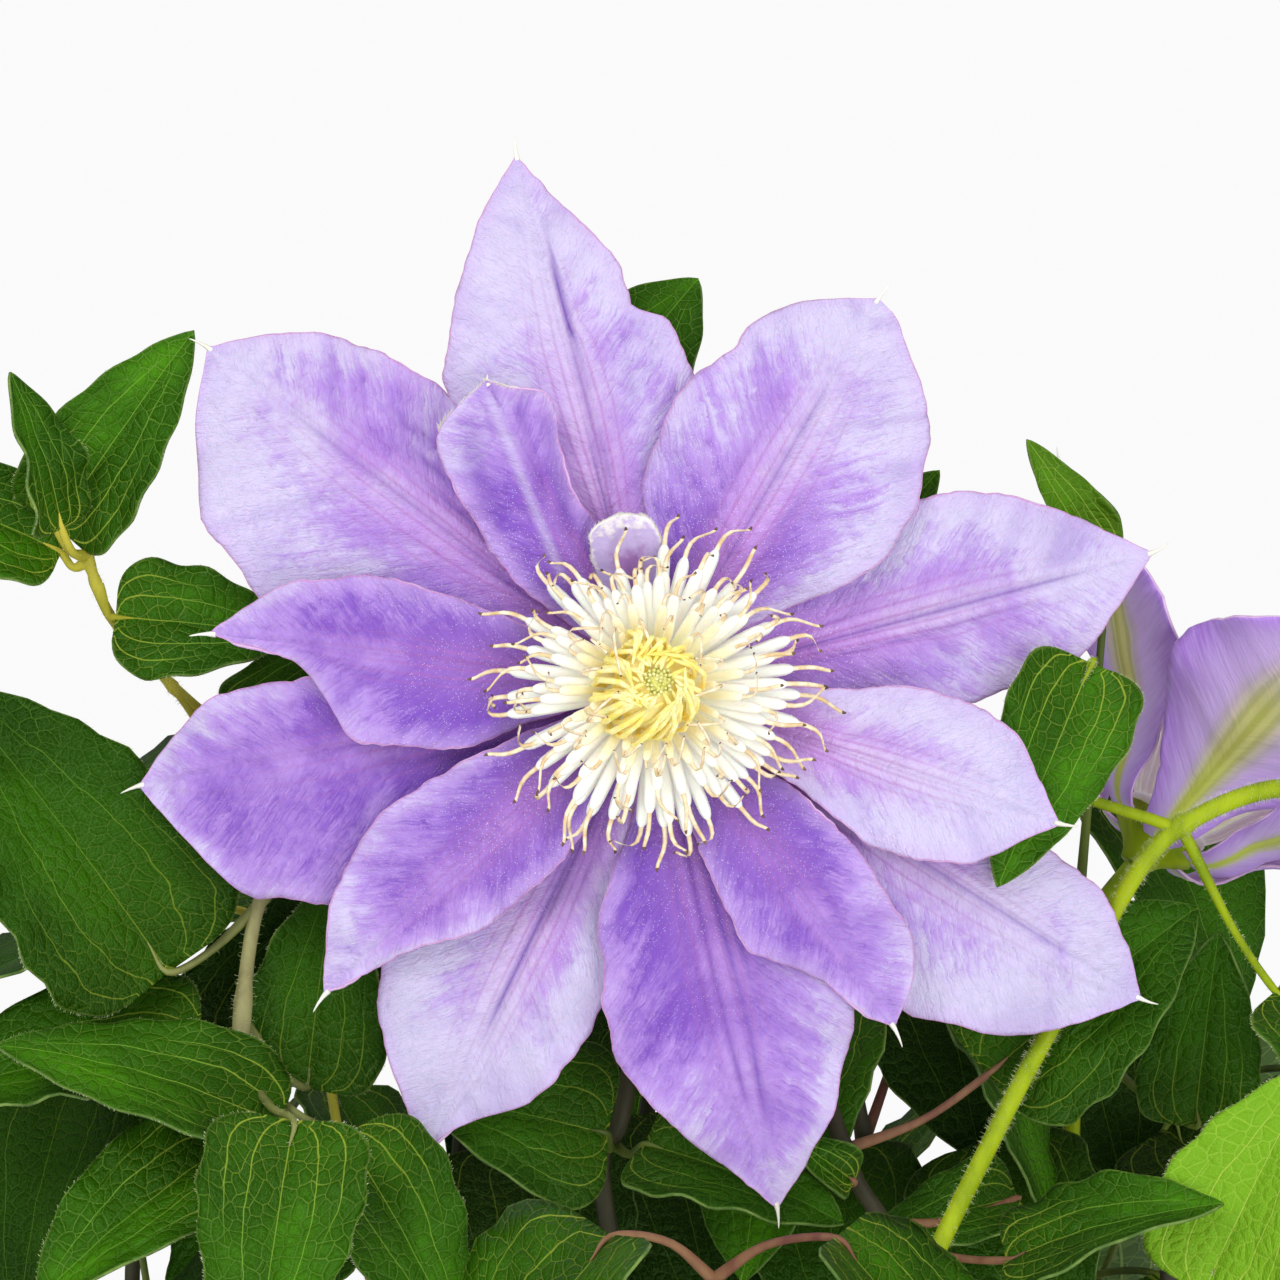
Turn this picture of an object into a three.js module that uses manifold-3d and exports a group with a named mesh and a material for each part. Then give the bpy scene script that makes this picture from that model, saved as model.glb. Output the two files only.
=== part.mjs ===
import * as THREE from 'three';
import { mergeVertices } from 'three/addons/utils/BufferGeometryUtils.js';
import Module from 'manifold-3d';

// A bushy clematis with two open blooms, growing in a plain clay pot.
// Millimetres, +Z up, the origin at the middle of the pot's foot, the main bloom facing -Y.

const wasm = await Module();
wasm.setup();

// Pot and soil
const potHeight = 130;
const potRimRadius = 82;
const potFootRadius = 56;
const potWall = 6;
const potFloor = 8;
const rimBandHeight = 25;
const rimBandStep = 4;
const potSides = 24;
const drainHoleRadius = 4.5;
const drainHoleCircle = 27;
const drainHoles = 3;
const soilDepthBelowRim = 14;
const soilDome = 3;
const soilCrumb = 1.4;
const clearance = 0.3;
const stemSunk = 26;
const stemStraight = 8;

// Main bloom, measured square to its face
const bloomCentre = new THREE.Vector3(0, -62, 304);
const bloomTilt = 12;
const tepalThickness = 0.7;
const tepalClawRadius = 7;
const tepalClawHalfWidth = 1.1;
const tepalRiseEnd = 25;
const receptacleRadius = 6.6;
const receptacleDepth = 6;
const receptacleTop = 1;

// Leaves and stems
const bladeThickness = 0.7;
const petioleRadius = 0.85;
const petioleTipRadius = 0.06;
const stemTaper = 0.8;
const stemSides = 5;
const holeSides = 6;
const petioleSides = 3;

const soilTop = potHeight - soilDepthBelowRim;
const radians = THREE.MathUtils.degToRad;
const bloomRight = new THREE.Vector3(1, 0, 0);
const bloomUp = new THREE.Vector3(0, Math.sin(radians(bloomTilt)), Math.cos(radians(bloomTilt)));
const bloomOut = new THREE.Vector3().crossVectors(bloomRight, bloomUp);

// A point given to the right of, above and in front of the main bloom's centre.
function aroundBloom(right, up, out) {
  return bloomCentre
    .clone()
    .addScaledVector(bloomRight, right)
    .addScaledVector(bloomUp, up)
    .addScaledVector(bloomOut, out);
}

function at(x, y, z) {
  return new THREE.Vector3(x, y, z);
}

// A small seeded generator of numbers from 0 to 1.
function seededRandom(seed) {
  let state = seed;
  return () => {
    state = (state * 16807) % 2147483647;
    return state / 2147483647;
  };
}

function between(low, high, share) {
  return low + (high - low) * share;
}

function smooth(x) {
  const t = Math.min(1, Math.max(0, x));
  return t * t * (3 - 2 * t);
}

// Solids: a closed geometry becomes a manifold, and back.

function solidOf(geometry) {
  const bare = geometry.clone();
  bare.deleteAttribute('normal');
  bare.deleteAttribute('uv');
  const merged = mergeVertices(bare, 1e-4);
  const index = merged.index.array;
  const triVerts = [];
  for (let i = 0; i < index.length; i += 3) {
    const [a, b, c] = [index[i], index[i + 1], index[i + 2]];
    if (a !== b && b !== c && a !== c) triVerts.push(a, b, c);
  }
  return new wasm.Manifold(
    new wasm.Mesh({
      numProp: 3,
      vertProperties: merged.attributes.position.array,
      triVerts: new Uint32Array(triVerts),
    }),
  );
}

function geometryOf(solid) {
  const mesh = solid.getMesh();
  const geometry = new THREE.BufferGeometry();
  geometry.setAttribute('position', new THREE.BufferAttribute(mesh.vertProperties, 3));
  geometry.setIndex(new THREE.BufferAttribute(mesh.triVerts, 1));
  geometry.computeVertexNormals();
  return geometry;
}

function joined(solids) {
  if (solids.length === 1) return solids[0];
  const half = Math.floor(solids.length / 2);
  return joined(solids.slice(0, half)).add(joined(solids.slice(half)));
}

// A thin sheet of even thickness: both faces take the plane's own triangles, and a rim closes them.
// The surface gives the middle of the sheet for a share across (-1 to 1) and one along (0 to 1).
function sheet(surface, across, rows, thickness) {
  const along = rows.length - 1;
  const plane = new THREE.PlaneGeometry(2, 1, across, along);
  const columns = across + 1;
  const count = columns * (along + 1);
  const nudge = 1e-3;
  const positions = new Float32Array(count * 6);
  for (let i = 0; i < count; i += 1) {
    const s = plane.attributes.position.getX(i);
    const t = rows[Math.floor(i / columns)];
    const tNear = Math.min(0.985, Math.max(0.015, t));
    const ahead = surface(s, tNear + nudge).sub(surface(s, tNear - nudge));
    const aside = surface(s + nudge, tNear).sub(surface(s - nudge, tNear));
    const normal = aside.cross(ahead).normalize();
    const middle = surface(s, t);
    middle.clone().addScaledVector(normal, thickness / 2).toArray(positions, i * 3);
    middle.clone().addScaledVector(normal, -thickness / 2).toArray(positions, (count + i) * 3);
  }
  const ends = [0, along];
  for (const row of ends) {
    const middleColumn = row * columns + across / 2;
    for (let column = 0; column < columns; column += 1) {
      for (const face of [0, count]) {
        const from = (face + middleColumn) * 3;
        const to = (face + row * columns + column) * 3;
        positions.copyWithin(to, from, from + 3);
      }
    }
  }
  const faces = Array.from(plane.index.array);
  const triangles = [];
  for (let i = 0; i < faces.length; i += 3) {
    const [a, b, c] = [faces[i], faces[i + 1], faces[i + 2]];
    triangles.push(a, c, b);
    triangles.push(count + a, count + b, count + c);
  }
  for (let row = 0; row < along; row += 1) {
    const left = row * columns;
    const right = left + across;
    const next = columns;
    triangles.push(left, left + next, count + left);
    triangles.push(left + next, count + left + next, count + left);
    triangles.push(right, count + right, right + next);
    triangles.push(right + next, count + right, count + right + next);
  }
  const geometry = new THREE.BufferGeometry();
  geometry.setAttribute('position', new THREE.BufferAttribute(positions, 3));
  geometry.setIndex(triangles);
  return geometry;
}

// A straight bar of unit radius along +Z, from 0 to 1, to be bent to shape.
function unitBar(sides, steps) {
  const corners = [];
  for (let i = 0; i < sides; i += 1) {
    const turn = (2 * Math.PI * i) / sides;
    corners.push(new THREE.Vector2(Math.cos(turn), Math.sin(turn)));
  }
  return new THREE.ExtrudeGeometry(new THREE.Shape(corners), { depth: 1, steps, bevelEnabled: false });
}

// A tapering stalk: a bar's rings are set square to a curve, from its start to its end.
function stalk(curve, startRadius, endRadius, sides, steps) {
  const geometry = unitBar(sides, steps);
  const frames = curve.computeFrenetFrames(steps);
  const position = geometry.attributes.position;
  for (let i = 0; i < position.count; i += 1) {
    const ring = Math.round(position.getZ(i) * steps);
    const radius = between(startRadius, endRadius, ring / steps);
    const point = curve
      .getPoint(ring / steps)
      .addScaledVector(frames.normals[ring], position.getX(i) * radius)
      .addScaledVector(frames.binormals[ring], position.getY(i) * radius);
    position.setXYZ(i, point.x, point.y, point.z);
  }
  return geometry;
}

// Pot and soil

const potInnerTop = potRimRadius - potWall - 0.5;
const potInnerFoot = potFootRadius - potWall;

function potInnerRadius(z) {
  return between(potInnerFoot, potInnerTop, (z - potFloor) / (potHeight - potFloor));
}

function potSolid() {
  const bodyTop = potHeight - rimBandHeight;
  const bodyRadius = potInnerRadius(bodyTop) + potWall;
  const profile = [
    [0, 0],
    [potFootRadius - 2, 0],
    [potFootRadius, 2],
    [bodyRadius, bodyTop],
    [bodyRadius + rimBandStep, bodyTop + 1.5],
    [potRimRadius, potHeight - 2.5],
    [potRimRadius - 2, potHeight],
    [potInnerTop, potHeight],
    [potInnerFoot, potFloor],
    [0, potFloor],
  ].map(([r, z]) => new THREE.Vector2(r, z));
  const shell = new THREE.LatheGeometry(profile, potSides).rotateX(Math.PI / 2);
  let pot = solidOf(shell);
  for (let i = 0; i < drainHoles; i += 1) {
    const turn = (2 * Math.PI * i) / drainHoles + Math.PI / 2;
    const hole = new THREE.CylinderGeometry(drainHoleRadius, drainHoleRadius, 4 * potFloor, 12)
      .rotateX(Math.PI / 2)
      .translate(drainHoleCircle * Math.cos(turn), drainHoleCircle * Math.sin(turn), 0);
    pot = pot.subtract(solidOf(hole));
  }
  return pot;
}

// Soil with a slightly crumbly, domed top and a plain hole for each stem.
function soilSolid(stemFeet) {
  const random = seededRandom(41);
  const bottom = potFloor + clearance;
  const innerRings = [0.84, 0.44];
  const wallGap = clearance * 1.2;
  const profile = [
    [0, bottom],
    [potInnerRadius(bottom) - wallGap, bottom],
    [potInnerRadius(soilTop) - wallGap, soilTop],
    ...innerRings.map((share) => [potInnerRadius(soilTop) * share, soilTop + soilDome * (1 - share)]),
    [0, soilTop + soilDome],
  ].map(([r, z]) => new THREE.Vector2(r, z));
  const body = new THREE.LatheGeometry(profile, potSides).rotateX(Math.PI / 2);
  const bare = mergeVertices(body.deleteAttribute('normal').deleteAttribute('uv'), 1e-4);
  const position = bare.attributes.position;
  for (let i = 0; i < position.count; i += 1) {
    const crumb = between(-soilCrumb, soilCrumb, random());
    if (position.getZ(i) > soilTop + 0.1) position.setZ(i, position.getZ(i) + crumb);
  }
  let soil = solidOf(bare);
  for (const foot of stemFeet) {
    const radius = (foot.radius + clearance) / Math.cos(Math.PI / holeSides);
    const hole = new THREE.CylinderGeometry(radius, radius, 2 * (stemSunk + clearance), holeSides)
      .rotateX(Math.PI / 2)
      .translate(foot.x, foot.y, soilTop);
    soil = soil.subtract(solidOf(hole));
  }
  return soil;
}

// Blooms. Each tepal is a waved blade in its own place in the layers. Its half-widths are given at five
// stations along it, first anticlockwise and then clockwise of the midrib, seen from the front.

const tepalRows = [0, 0.2, 0.4, 0.6, 0.8, 0.92, 1];
const plainTepalRows = [0, 0.1, 0.32, 0.56, 0.8, 1];

// Each layer's height at the receptacle and beyond it.
const backLayer = { seat: -2.2, lift: -1.2 };
const lowLayer = { seat: -2.2, lift: 0 };
const highLayer = { seat: -1.3, lift: 1.8 };
const innerLayer = { seat: -0.4, lift: 3.6 };

const frontTepals = [
  {
    ...lowLayer, turn: 104.4, length: 72.8, tip: -5,
    ccw: [5, 12, 15.8, 11, 4.8], cw: [7, 14, 14.5, 8.8, 3.8],
  },
  {
    ...backLayer, turn: 142.6, length: 74.3, tip: -5,
    ccw: [6, 17.5, 22, 18.2, 10], cw: [5, 11.5, 14.5, 12, 6.5],
  },
  {
    ...lowLayer, turn: -169.2, length: 69.2, tip: -5,
    ccw: [6, 15, 20, 17.5, 9], cw: [5, 8, 10, 10, 5],
  },
  {
    ...backLayer, turn: -115.7, length: 69.6, tip: -3,
    ccw: [6.5, 11, 12.5, 9, 1.5], cw: [6, 14, 17.5, 12.5, 5],
  },
  {
    ...highLayer, turn: -76.5, length: 70.6, tip: -4,
    ccw: [7, 13, 16, 11.5, 5.5], cw: [7, 14.5, 16, 10.5, 4],
  },
  {
    ...lowLayer, turn: -32.6, length: 76.9, tip: -6,
    ccw: [5, 9, 10.5, 10, 5.5], cw: [7, 14, 18, 14.5, 7.5],
  },
  {
    ...backLayer, turn: 15, length: 68.7, tip: -4,
    ccw: [6.5, 13.8, 15, 10.5, 4.5], cw: [5, 9, 12.5, 10.5, 4.5],
  },
  {
    ...highLayer, turn: 59.9, length: 59.3, tip: -3,
    ccw: [7.5, 16, 15.5, 12.5, 8], cw: [7.5, 15.5, 18.5, 14.5, 8.5],
  },
  {
    ...innerLayer, turn: 118.4, length: 45.6, tip: 3,
    ccw: [5, 8, 9.5, 11.5, 8.5], cw: [4, 5, 5, 6.5, 6],
  },
  {
    ...innerLayer, turn: 172.9, length: 58.3, tip: 0,
    ccw: [6, 11, 12, 2, 1.2], cw: [5, 8, 10, 8.5, 4],
  },
  {
    ...innerLayer, turn: -137, length: 58.8, tip: -1,
    ccw: [6, 8.5, 8, 3, 1.5], cw: [6, 10, 12, 9.5, 4.5],
  },
  {
    ...innerLayer, lift: 4.4, turn: -54.4, length: 54.5, tip: 0,
    ccw: [4, 8, 9.5, 9, 6], cw: [5, 8, 9.5, 4, 2.5],
  },
  {
    ...innerLayer, turn: -18.4, length: 55.8, tip: 5,
    ccw: [5, 8, 11.5, 10, 4.5], cw: [4, 7, 10.5, 9, 4],
  },
];

const evenWidths = [5.5, 12, 15, 11.5, 5.5];
const slimWidths = [5.5, 12, 14, 6, 1.5];
const lowTepal = { ...lowLayer, tip: -4, ccw: evenWidths, cw: evenWidths };
const highTepal = { ...lowTepal, seat: -1.1, lift: 1.8 };
const secondTepals = [
  { ...highTepal, turn: -64, length: 57, ccw: slimWidths, cw: slimWidths, sweep: 2 },
  { ...lowTepal, turn: -4, length: 57 },
  { ...highTepal, turn: 56, length: 55 },
  { ...lowTepal, turn: 116, length: 55 },
  { ...highTepal, turn: 176, length: 57 },
  { ...lowTepal, turn: -124, length: 56 },
];

// The small curled inner tepal, whose stations are its own.
const petaloidWidths = [1.3, 1.3, 2.4, 4.3, 3.4];
const petaloid = {
  turn: 97,
  length: 25,
  seat: 0.5,
  lift: 5,
  tip: 5,
  ccw: petaloidWidths,
  cw: petaloidWidths,
};

// A half-width at any share of the length, between the stations.
function halfWidthAt(stations, t) {
  const widths = [tepalClawHalfWidth, ...stations, 0];
  let i = 0;
  while (i < tepalRows.length - 2 && t > tepalRows[i + 1]) i += 1;
  const share = (t - tepalRows[i]) / (tepalRows[i + 1] - tepalRows[i]);
  return between(widths[i], widths[i + 1], Math.min(1, Math.max(0, share)));
}

// Raises what lies outside the receptacle, to cup the bloom: the distance from its axis and the height.
function raised(r, z, degrees) {
  const start = receptacleRadius - 1.6;
  const lean = radians(degrees) * smooth((r - start) / 10);
  const beyond = Math.max(0, r - start);
  const out = beyond * Math.cos(lean) - z * Math.sin(lean);
  return [r - beyond + out, beyond * Math.sin(lean) + z * Math.cos(lean)];
}

// The middle surface of a tepal, in its bloom's frame with +Z out of the bloom's face.
function tepalSurface(tepal, raise) {
  const turn = radians(tepal.turn);
  const phase = turn * 3;
  return (s, t) => {
    const along = 3 + (tepal.length - 3) * t;
    const half = halfWidthAt(s > 0 ? tepal.ccw : tepal.cw, t);
    const rise = smooth((along - tepalClawRadius) / (tepalRiseEnd - tepalClawRadius));
    const belly = 1.6 * Math.sin(Math.PI * t) * rise;
    const keel = (1.1 * Math.abs(s) - 0.5) * rise * (1 - t);
    const wave = 0.9 * s * s * Math.sin(9 * t + phase) * rise * (1 - t * t);
    const out = tepal.seat + (tepal.lift - tepal.seat) * rise + belly + keel + wave + tepal.tip * t * t * t;
    const aside = s * half + (tepal.sweep ?? 0) * t * t;
    const [r, z] = raised(along, out, raise);
    return new THREE.Vector3(
      r * Math.cos(turn) - aside * Math.sin(turn),
      r * Math.sin(turn) + aside * Math.cos(turn),
      z,
    );
  };
}

// Places a bloom's solid, built round the origin facing +Z.
function bloomFrame(centre, facing, upward) {
  const z = facing.clone().normalize();
  const x = new THREE.Vector3().crossVectors(upward, z).normalize();
  const y = new THREE.Vector3().crossVectors(z, x);
  return new THREE.Matrix4().makeBasis(x, y, z).setPosition(centre);
}

function tepalsSolid(tepals, rows, raise, frame) {
  const across = 4;
  const receptacle = new THREE.LatheGeometry(
    [
      [0, -receptacleDepth],
      [2.2, -receptacleDepth],
      [3.4, -3.8],
      [receptacleRadius, -1.6],
      [receptacleRadius, receptacleTop],
      [0, receptacleTop],
    ].map(([r, z]) => new THREE.Vector2(r, z)),
    10,
  ).rotateX(Math.PI / 2);
  const parts = tepals.map((tepal) => sheet(tepalSurface(tepal, raise), across, rows, tepalThickness));
  return joined([receptacle, ...parts].map((part) => solidOf(part.applyMatrix4(frame))));
}

// A stamen lies in a plane through the bloom's axis. It follows points given by their distance from the
// axis and their height, with a flat filament that narrows to a curved anther.
const frontStamens = 26;
const frontHeartStamens = 8;
const secondStamens = 12;
const secondHeartStamens = 5;
const stamenSteps = 3;
const stamenSides = 3;
const outerStamenPath = [[5.4, 1.8], [10.5, 6.4], [18, 8.2], [25, 9.6]];
const innerStamenPath = [[3.6, 1.9], [7, 6.4], [13, 9.8], [19.5, 12]];
const heartStamenPath = [[5.6, 9.4], [8, 12.4], [5.6, 16.6], [1.2, 17.8]];
const filamentHalfWidths = [0.7, 0.8, 0.75, 0.4];
const filamentHalfDepth = 0.5;
const petaloidHalfAngle = 17;

function stamenGeometry(path, turn, raise, reach) {
  const curve = new THREE.SplineCurve(path.map(([r, z]) => new THREE.Vector2(r * reach, z)));
  const geometry = unitBar(stamenSides, stamenSteps);
  const position = geometry.attributes.position;
  for (let i = 0; i < position.count; i += 1) {
    const share = position.getZ(i);
    const on = curve.getPoint(share);
    const way = curve.getTangent(share);
    const aside = position.getY(i) * filamentHalfWidths[Math.round(share * stamenSteps)];
    const depth = position.getX(i) * filamentHalfDepth;
    const [r, z] = raised(on.x - way.y * depth, on.y + way.x * depth, raise);
    position.setXYZ(i, r, -aside, z);
  }
  return geometry.rotateZ(turn);
}

function isByPetaloid(turn) {
  const away = Math.abs(((THREE.MathUtils.radToDeg(turn) - petaloid.turn + 540) % 360) - 180);
  return away < petaloidHalfAngle;
}

function stamensSolid(count, raise, hasPetaloid, frame) {
  const random = seededRandom(97);
  const disc = new THREE.CylinderGeometry(6.4, 6.4, 1.2, 12).rotateX(Math.PI / 2).translate(0, 0, 1.9);
  const parts = [disc];
  for (let i = 0; i < count; i += 1) {
    const turn = (2 * Math.PI * i) / count;
    const reach = between(0.94, 1.04, random());
    const isOuter = i % 2 === 0;
    if (isOuter && hasPetaloid && isByPetaloid(turn)) continue;
    parts.push(stamenGeometry(isOuter ? outerStamenPath : innerStamenPath, turn, raise, reach));
  }
  return joined(parts.map((part) => solidOf(part.applyMatrix4(frame))));
}

function heartSolid(count, frame) {
  const dome = new THREE.LatheGeometry(
    [
      [0, 2.8],
      [2.4, 2.8],
      [2.4, 6],
      [6.2, 10],
      [5.4, 13.6],
      [0, 15.6],
    ].map(([r, z]) => new THREE.Vector2(r, z)),
    8,
  ).rotateX(Math.PI / 2);
  const parts = [dome];
  for (let i = 0; i < count; i += 1) {
    parts.push(stamenGeometry(heartStamenPath, (2 * Math.PI * i) / count, 0, 1));
  }
  return joined(parts.map((part) => solidOf(part.applyMatrix4(frame))));
}

const frontFrame = bloomFrame(bloomCentre, bloomOut, bloomUp);
const secondCentre = aroundBloom(71.4, -20.7, -45);
const secondFacing = aroundBloom(0.63, 0.77, -0.18).sub(bloomCentre).normalize();
const secondSide = aroundBloom(0.77, -0.63, 0).sub(bloomCentre);
const secondFrame = bloomFrame(secondCentre, secondFacing, secondSide);
const secondRaise = 32;
const secondStamenRaise = 22;

// Stems: each climbs from its hole in the soil through these points.

const stems = [
  {
    name: 'stem_front',
    radius: 1.6,
    foot: [-3, -26],
    points: [
      at(-6, -34, 158),
      at(-3, -42, 201),
      at(-7, -51, 234),
      aroundBloom(-4, -58, -21),
      aroundBloom(-1, -36, -25),
      aroundBloom(-1, -14, -23),
      aroundBloom(0, -2, -16),
      aroundBloom(0, 0, -receptacleDepth - clearance),
    ],
  },
  {
    name: 'stem_left',
    radius: 1.6,
    foot: [-36, -14],
    points: [
      at(-47, -23, 154),
      at(-54, -40, 189),
      at(-54, -56, 229),
      aroundBloom(-54.8, -50.9, -8),
      aroundBloom(-53.5, -31.8, -14),
      aroundBloom(-50, -24, -18),
    ],
  },
  {
    name: 'stem_upper_left',
    radius: 1.1,
    foot: [-24, 3],
    points: [
      at(-32, -4, 162),
      at(-43, -16, 217),
      at(-50, -31, 268),
      aroundBloom(-61, -5.5, -20),
      aroundBloom(-66, 1.7, -16),
      aroundBloom(-72.5, 9.5, -12),
      aroundBloom(-75.5, 17.5, -10),
    ],
  },
  {
    name: 'stem_right',
    radius: 1.8,
    foot: [29, -26],
    points: [
      at(34, -47, 162),
      at(31, -65, 201),
      aroundBloom(33, -84, 0),
      aroundBloom(46, -58, -5),
      aroundBloom(54.5, -43, -9),
      aroundBloom(65.2, -23.9, -9),
      aroundBloom(73, -17, -8),
      aroundBloom(84, -13.4, -7),
      aroundBloom(92, -17, -7),
      aroundBloom(95, -26, -7),
    ],
  },
  {
    name: 'stem_lower_right',
    radius: 1.5,
    foot: [15, -32],
    points: [
      at(16, -47, 158),
      at(22, -58, 201),
      aroundBloom(31, -76, -16),
      aroundBloom(26.7, -64.7, -15),
      aroundBloom(22, -50, -20),
    ],
  },
  {
    name: 'stem_second_bloom',
    radius: 1.6,
    foot: [39, 2],
    points: [
      at(52, 0, 162),
      at(60, -11, 209),
      at(59, -29, 246),
      aroundBloom(59, -39, -42),
      secondCentre.clone().addScaledVector(secondFacing, -14),
      secondCentre.clone().addScaledVector(secondFacing, -receptacleDepth - clearance),
    ],
  },
  {
    name: 'stem_back_left',
    radius: 1.5,
    foot: [-32, 24],
    points: [at(-46, 38, 160), at(-57, 46, 200), at(-58, 44, 238), at(-50, 36, 268)],
  },
  {
    name: 'stem_back',
    radius: 1.5,
    foot: [3, 37],
    points: [at(4, 56, 160), at(-4, 67, 200), at(-2, 66, 240), at(4, 54, 272)],
  },
  {
    name: 'stem_back_right',
    radius: 1.5,
    foot: [34, 26],
    points: [at(48, 36, 160), at(60, 43, 198), at(62, 42, 234), at(56, 38, 262)],
  },
  {
    name: 'stem_middle',
    radius: 1.5,
    foot: [0, 3],
    points: [
      at(-5, 7, 186),
      at(2, 5, 241),
      at(7, -9, 284),
      aroundBloom(6, 20, -25),
      aroundBloom(3, 31, -19),
    ],
  },
  {
    name: 'stem_middle_left',
    radius: 1.4,
    foot: [-15, -14],
    points: [at(-22, -16, 166), at(-28, -12, 214), at(-24, -18, 254)],
  },
  {
    name: 'stem_middle_right',
    radius: 1.4,
    foot: [19, -8],
    points: [at(24, -12, 164), at(32, -14, 210), at(27, -22, 248)],
  },
  {
    name: 'stem_low_left',
    radius: 1.4,
    foot: [-19, -37],
    points: [at(-26, -56, 150), at(-33, -72, 188), at(-30, -80, 226)],
  },
  {
    name: 'stem_low_front',
    radius: 1.4,
    foot: [3, -48],
    points: [at(8, -66, 150), at(13, -80, 190), at(8, -84, 230)],
  },
  {
    name: 'stem_low_right',
    radius: 1.4,
    foot: [46, -20],
    points: [at(60, -38, 152), at(70, -52, 188), at(70, -60, 226)],
  },
  {
    name: 'stem_side_left',
    radius: 1.4,
    foot: [-49, 2],
    points: [at(-66, -2, 154), at(-76, -6, 194), at(-72, -14, 230)],
  },
  {
    name: 'stem_side_right',
    radius: 1.4,
    foot: [53, 8],
    points: [at(70, 12, 154), at(80, 12, 190), at(78, 4, 224)],
  },
];

function stemNamed(name) {
  return stems.find((stem) => stem.name === name);
}

function stemCurve(stem) {
  const [x, y] = stem.foot;
  return new THREE.CatmullRomCurve3(
    [at(x, y, soilTop - stemSunk), at(x, y, soilTop + stemStraight), ...stem.points],
    false,
    'catmullrom',
    0.5,
  );
}

// A point at a share of the stem, on the straight stretch between two of its rings.
function stemPoint(stem, share) {
  const steps = stem.points.length + 1;
  const ring = Math.min(steps - 1, Math.floor(share * steps));
  const from = stem.curve.getPoint(ring / steps);
  const to = stem.curve.getPoint((ring + 1) / steps);
  return from.lerp(to, share * steps - ring);
}

function stemTube(stem) {
  const steps = stem.points.length + 1;
  return solidOf(stalk(stem.curve, stem.radius, stem.radius * stemTaper, stemSides, steps));
}

// Leaves: ovate blades with a rounded to heart-shaped base and a gently waved edge. Each range is drawn
// from for every leaf: lengths in millimetres, the arch, rise, pitch and roll in degrees.

const leafRows = [0, 0.12, 0.4, 0.72, 1];
const nearLeafRows = [0, 0.1, 0.3, 0.55, 0.8, 1];
const nearRanges = { arch: [24, 40], fold: [0.1, 0.3], heart: [0.9, 1.5], wave: [0.6, 1.3], phase: [0, 6] };
const leafRanges = {
  ...nearRanges,
  arch: [22, 44],
  fold: [0.08, 0.3],
  petiole: [15, 27],
  rise: [18, 42],
  pitch: [-46, -12],
  roll: [-18, 18],
  length: [37, 50],
  widthShare: [0.58, 0.7],
};
const innerLeafSize = 0.72;

function leafSurface(leaf, frame) {
  const bend = radians(leaf.arch) / leaf.length;
  return (s, t) => {
    const across = Math.pow(Math.sin(Math.PI * Math.pow(t, 0.62)), 0.8) || 0;
    const x = (s * leaf.width * across) / 2;
    const y = leaf.length * (t - leaf.heart * t * Math.pow(1 - t, 3) * s * s);
    const lift = leaf.fold * Math.abs(s) * across * leaf.width * 0.5;
    const wave = leaf.wave * s * s * Math.sin(8 * t + leaf.phase) * across;
    const z = lift + wave;
    const turned = bend * y;
    return new THREE.Vector3(
      x,
      Math.sin(turned) / bend + z * Math.sin(turned),
      -(1 - Math.cos(turned)) / bend + z * Math.cos(turned),
    ).applyMatrix4(frame);
  };
}

// A leaf's frame: the base point, the way its midrib sets out and the way its upper face looks.
function leafFrame(base, way, face) {
  const y = way.clone().normalize();
  const z = face.clone().addScaledVector(y, -face.dot(y)).normalize();
  const x = new THREE.Vector3().crossVectors(y, z);
  return new THREE.Matrix4().makeBasis(x, y, z).setPosition(base);
}

// The stalk from a stem to a blade, sunk along its midrib as far as the first row.
function petioleGeometry(start, middle, surface, rows, extra) {
  const points = [start, middle, surface(0, 0), surface(0, rows[1])];
  const curve = new THREE.CatmullRomCurve3(points, false, 'catmullrom', 0.5);
  const steps = points.length - 1;
  return stalk(curve, petioleRadius + extra, petioleTipRadius + extra, petioleSides, steps);
}

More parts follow.
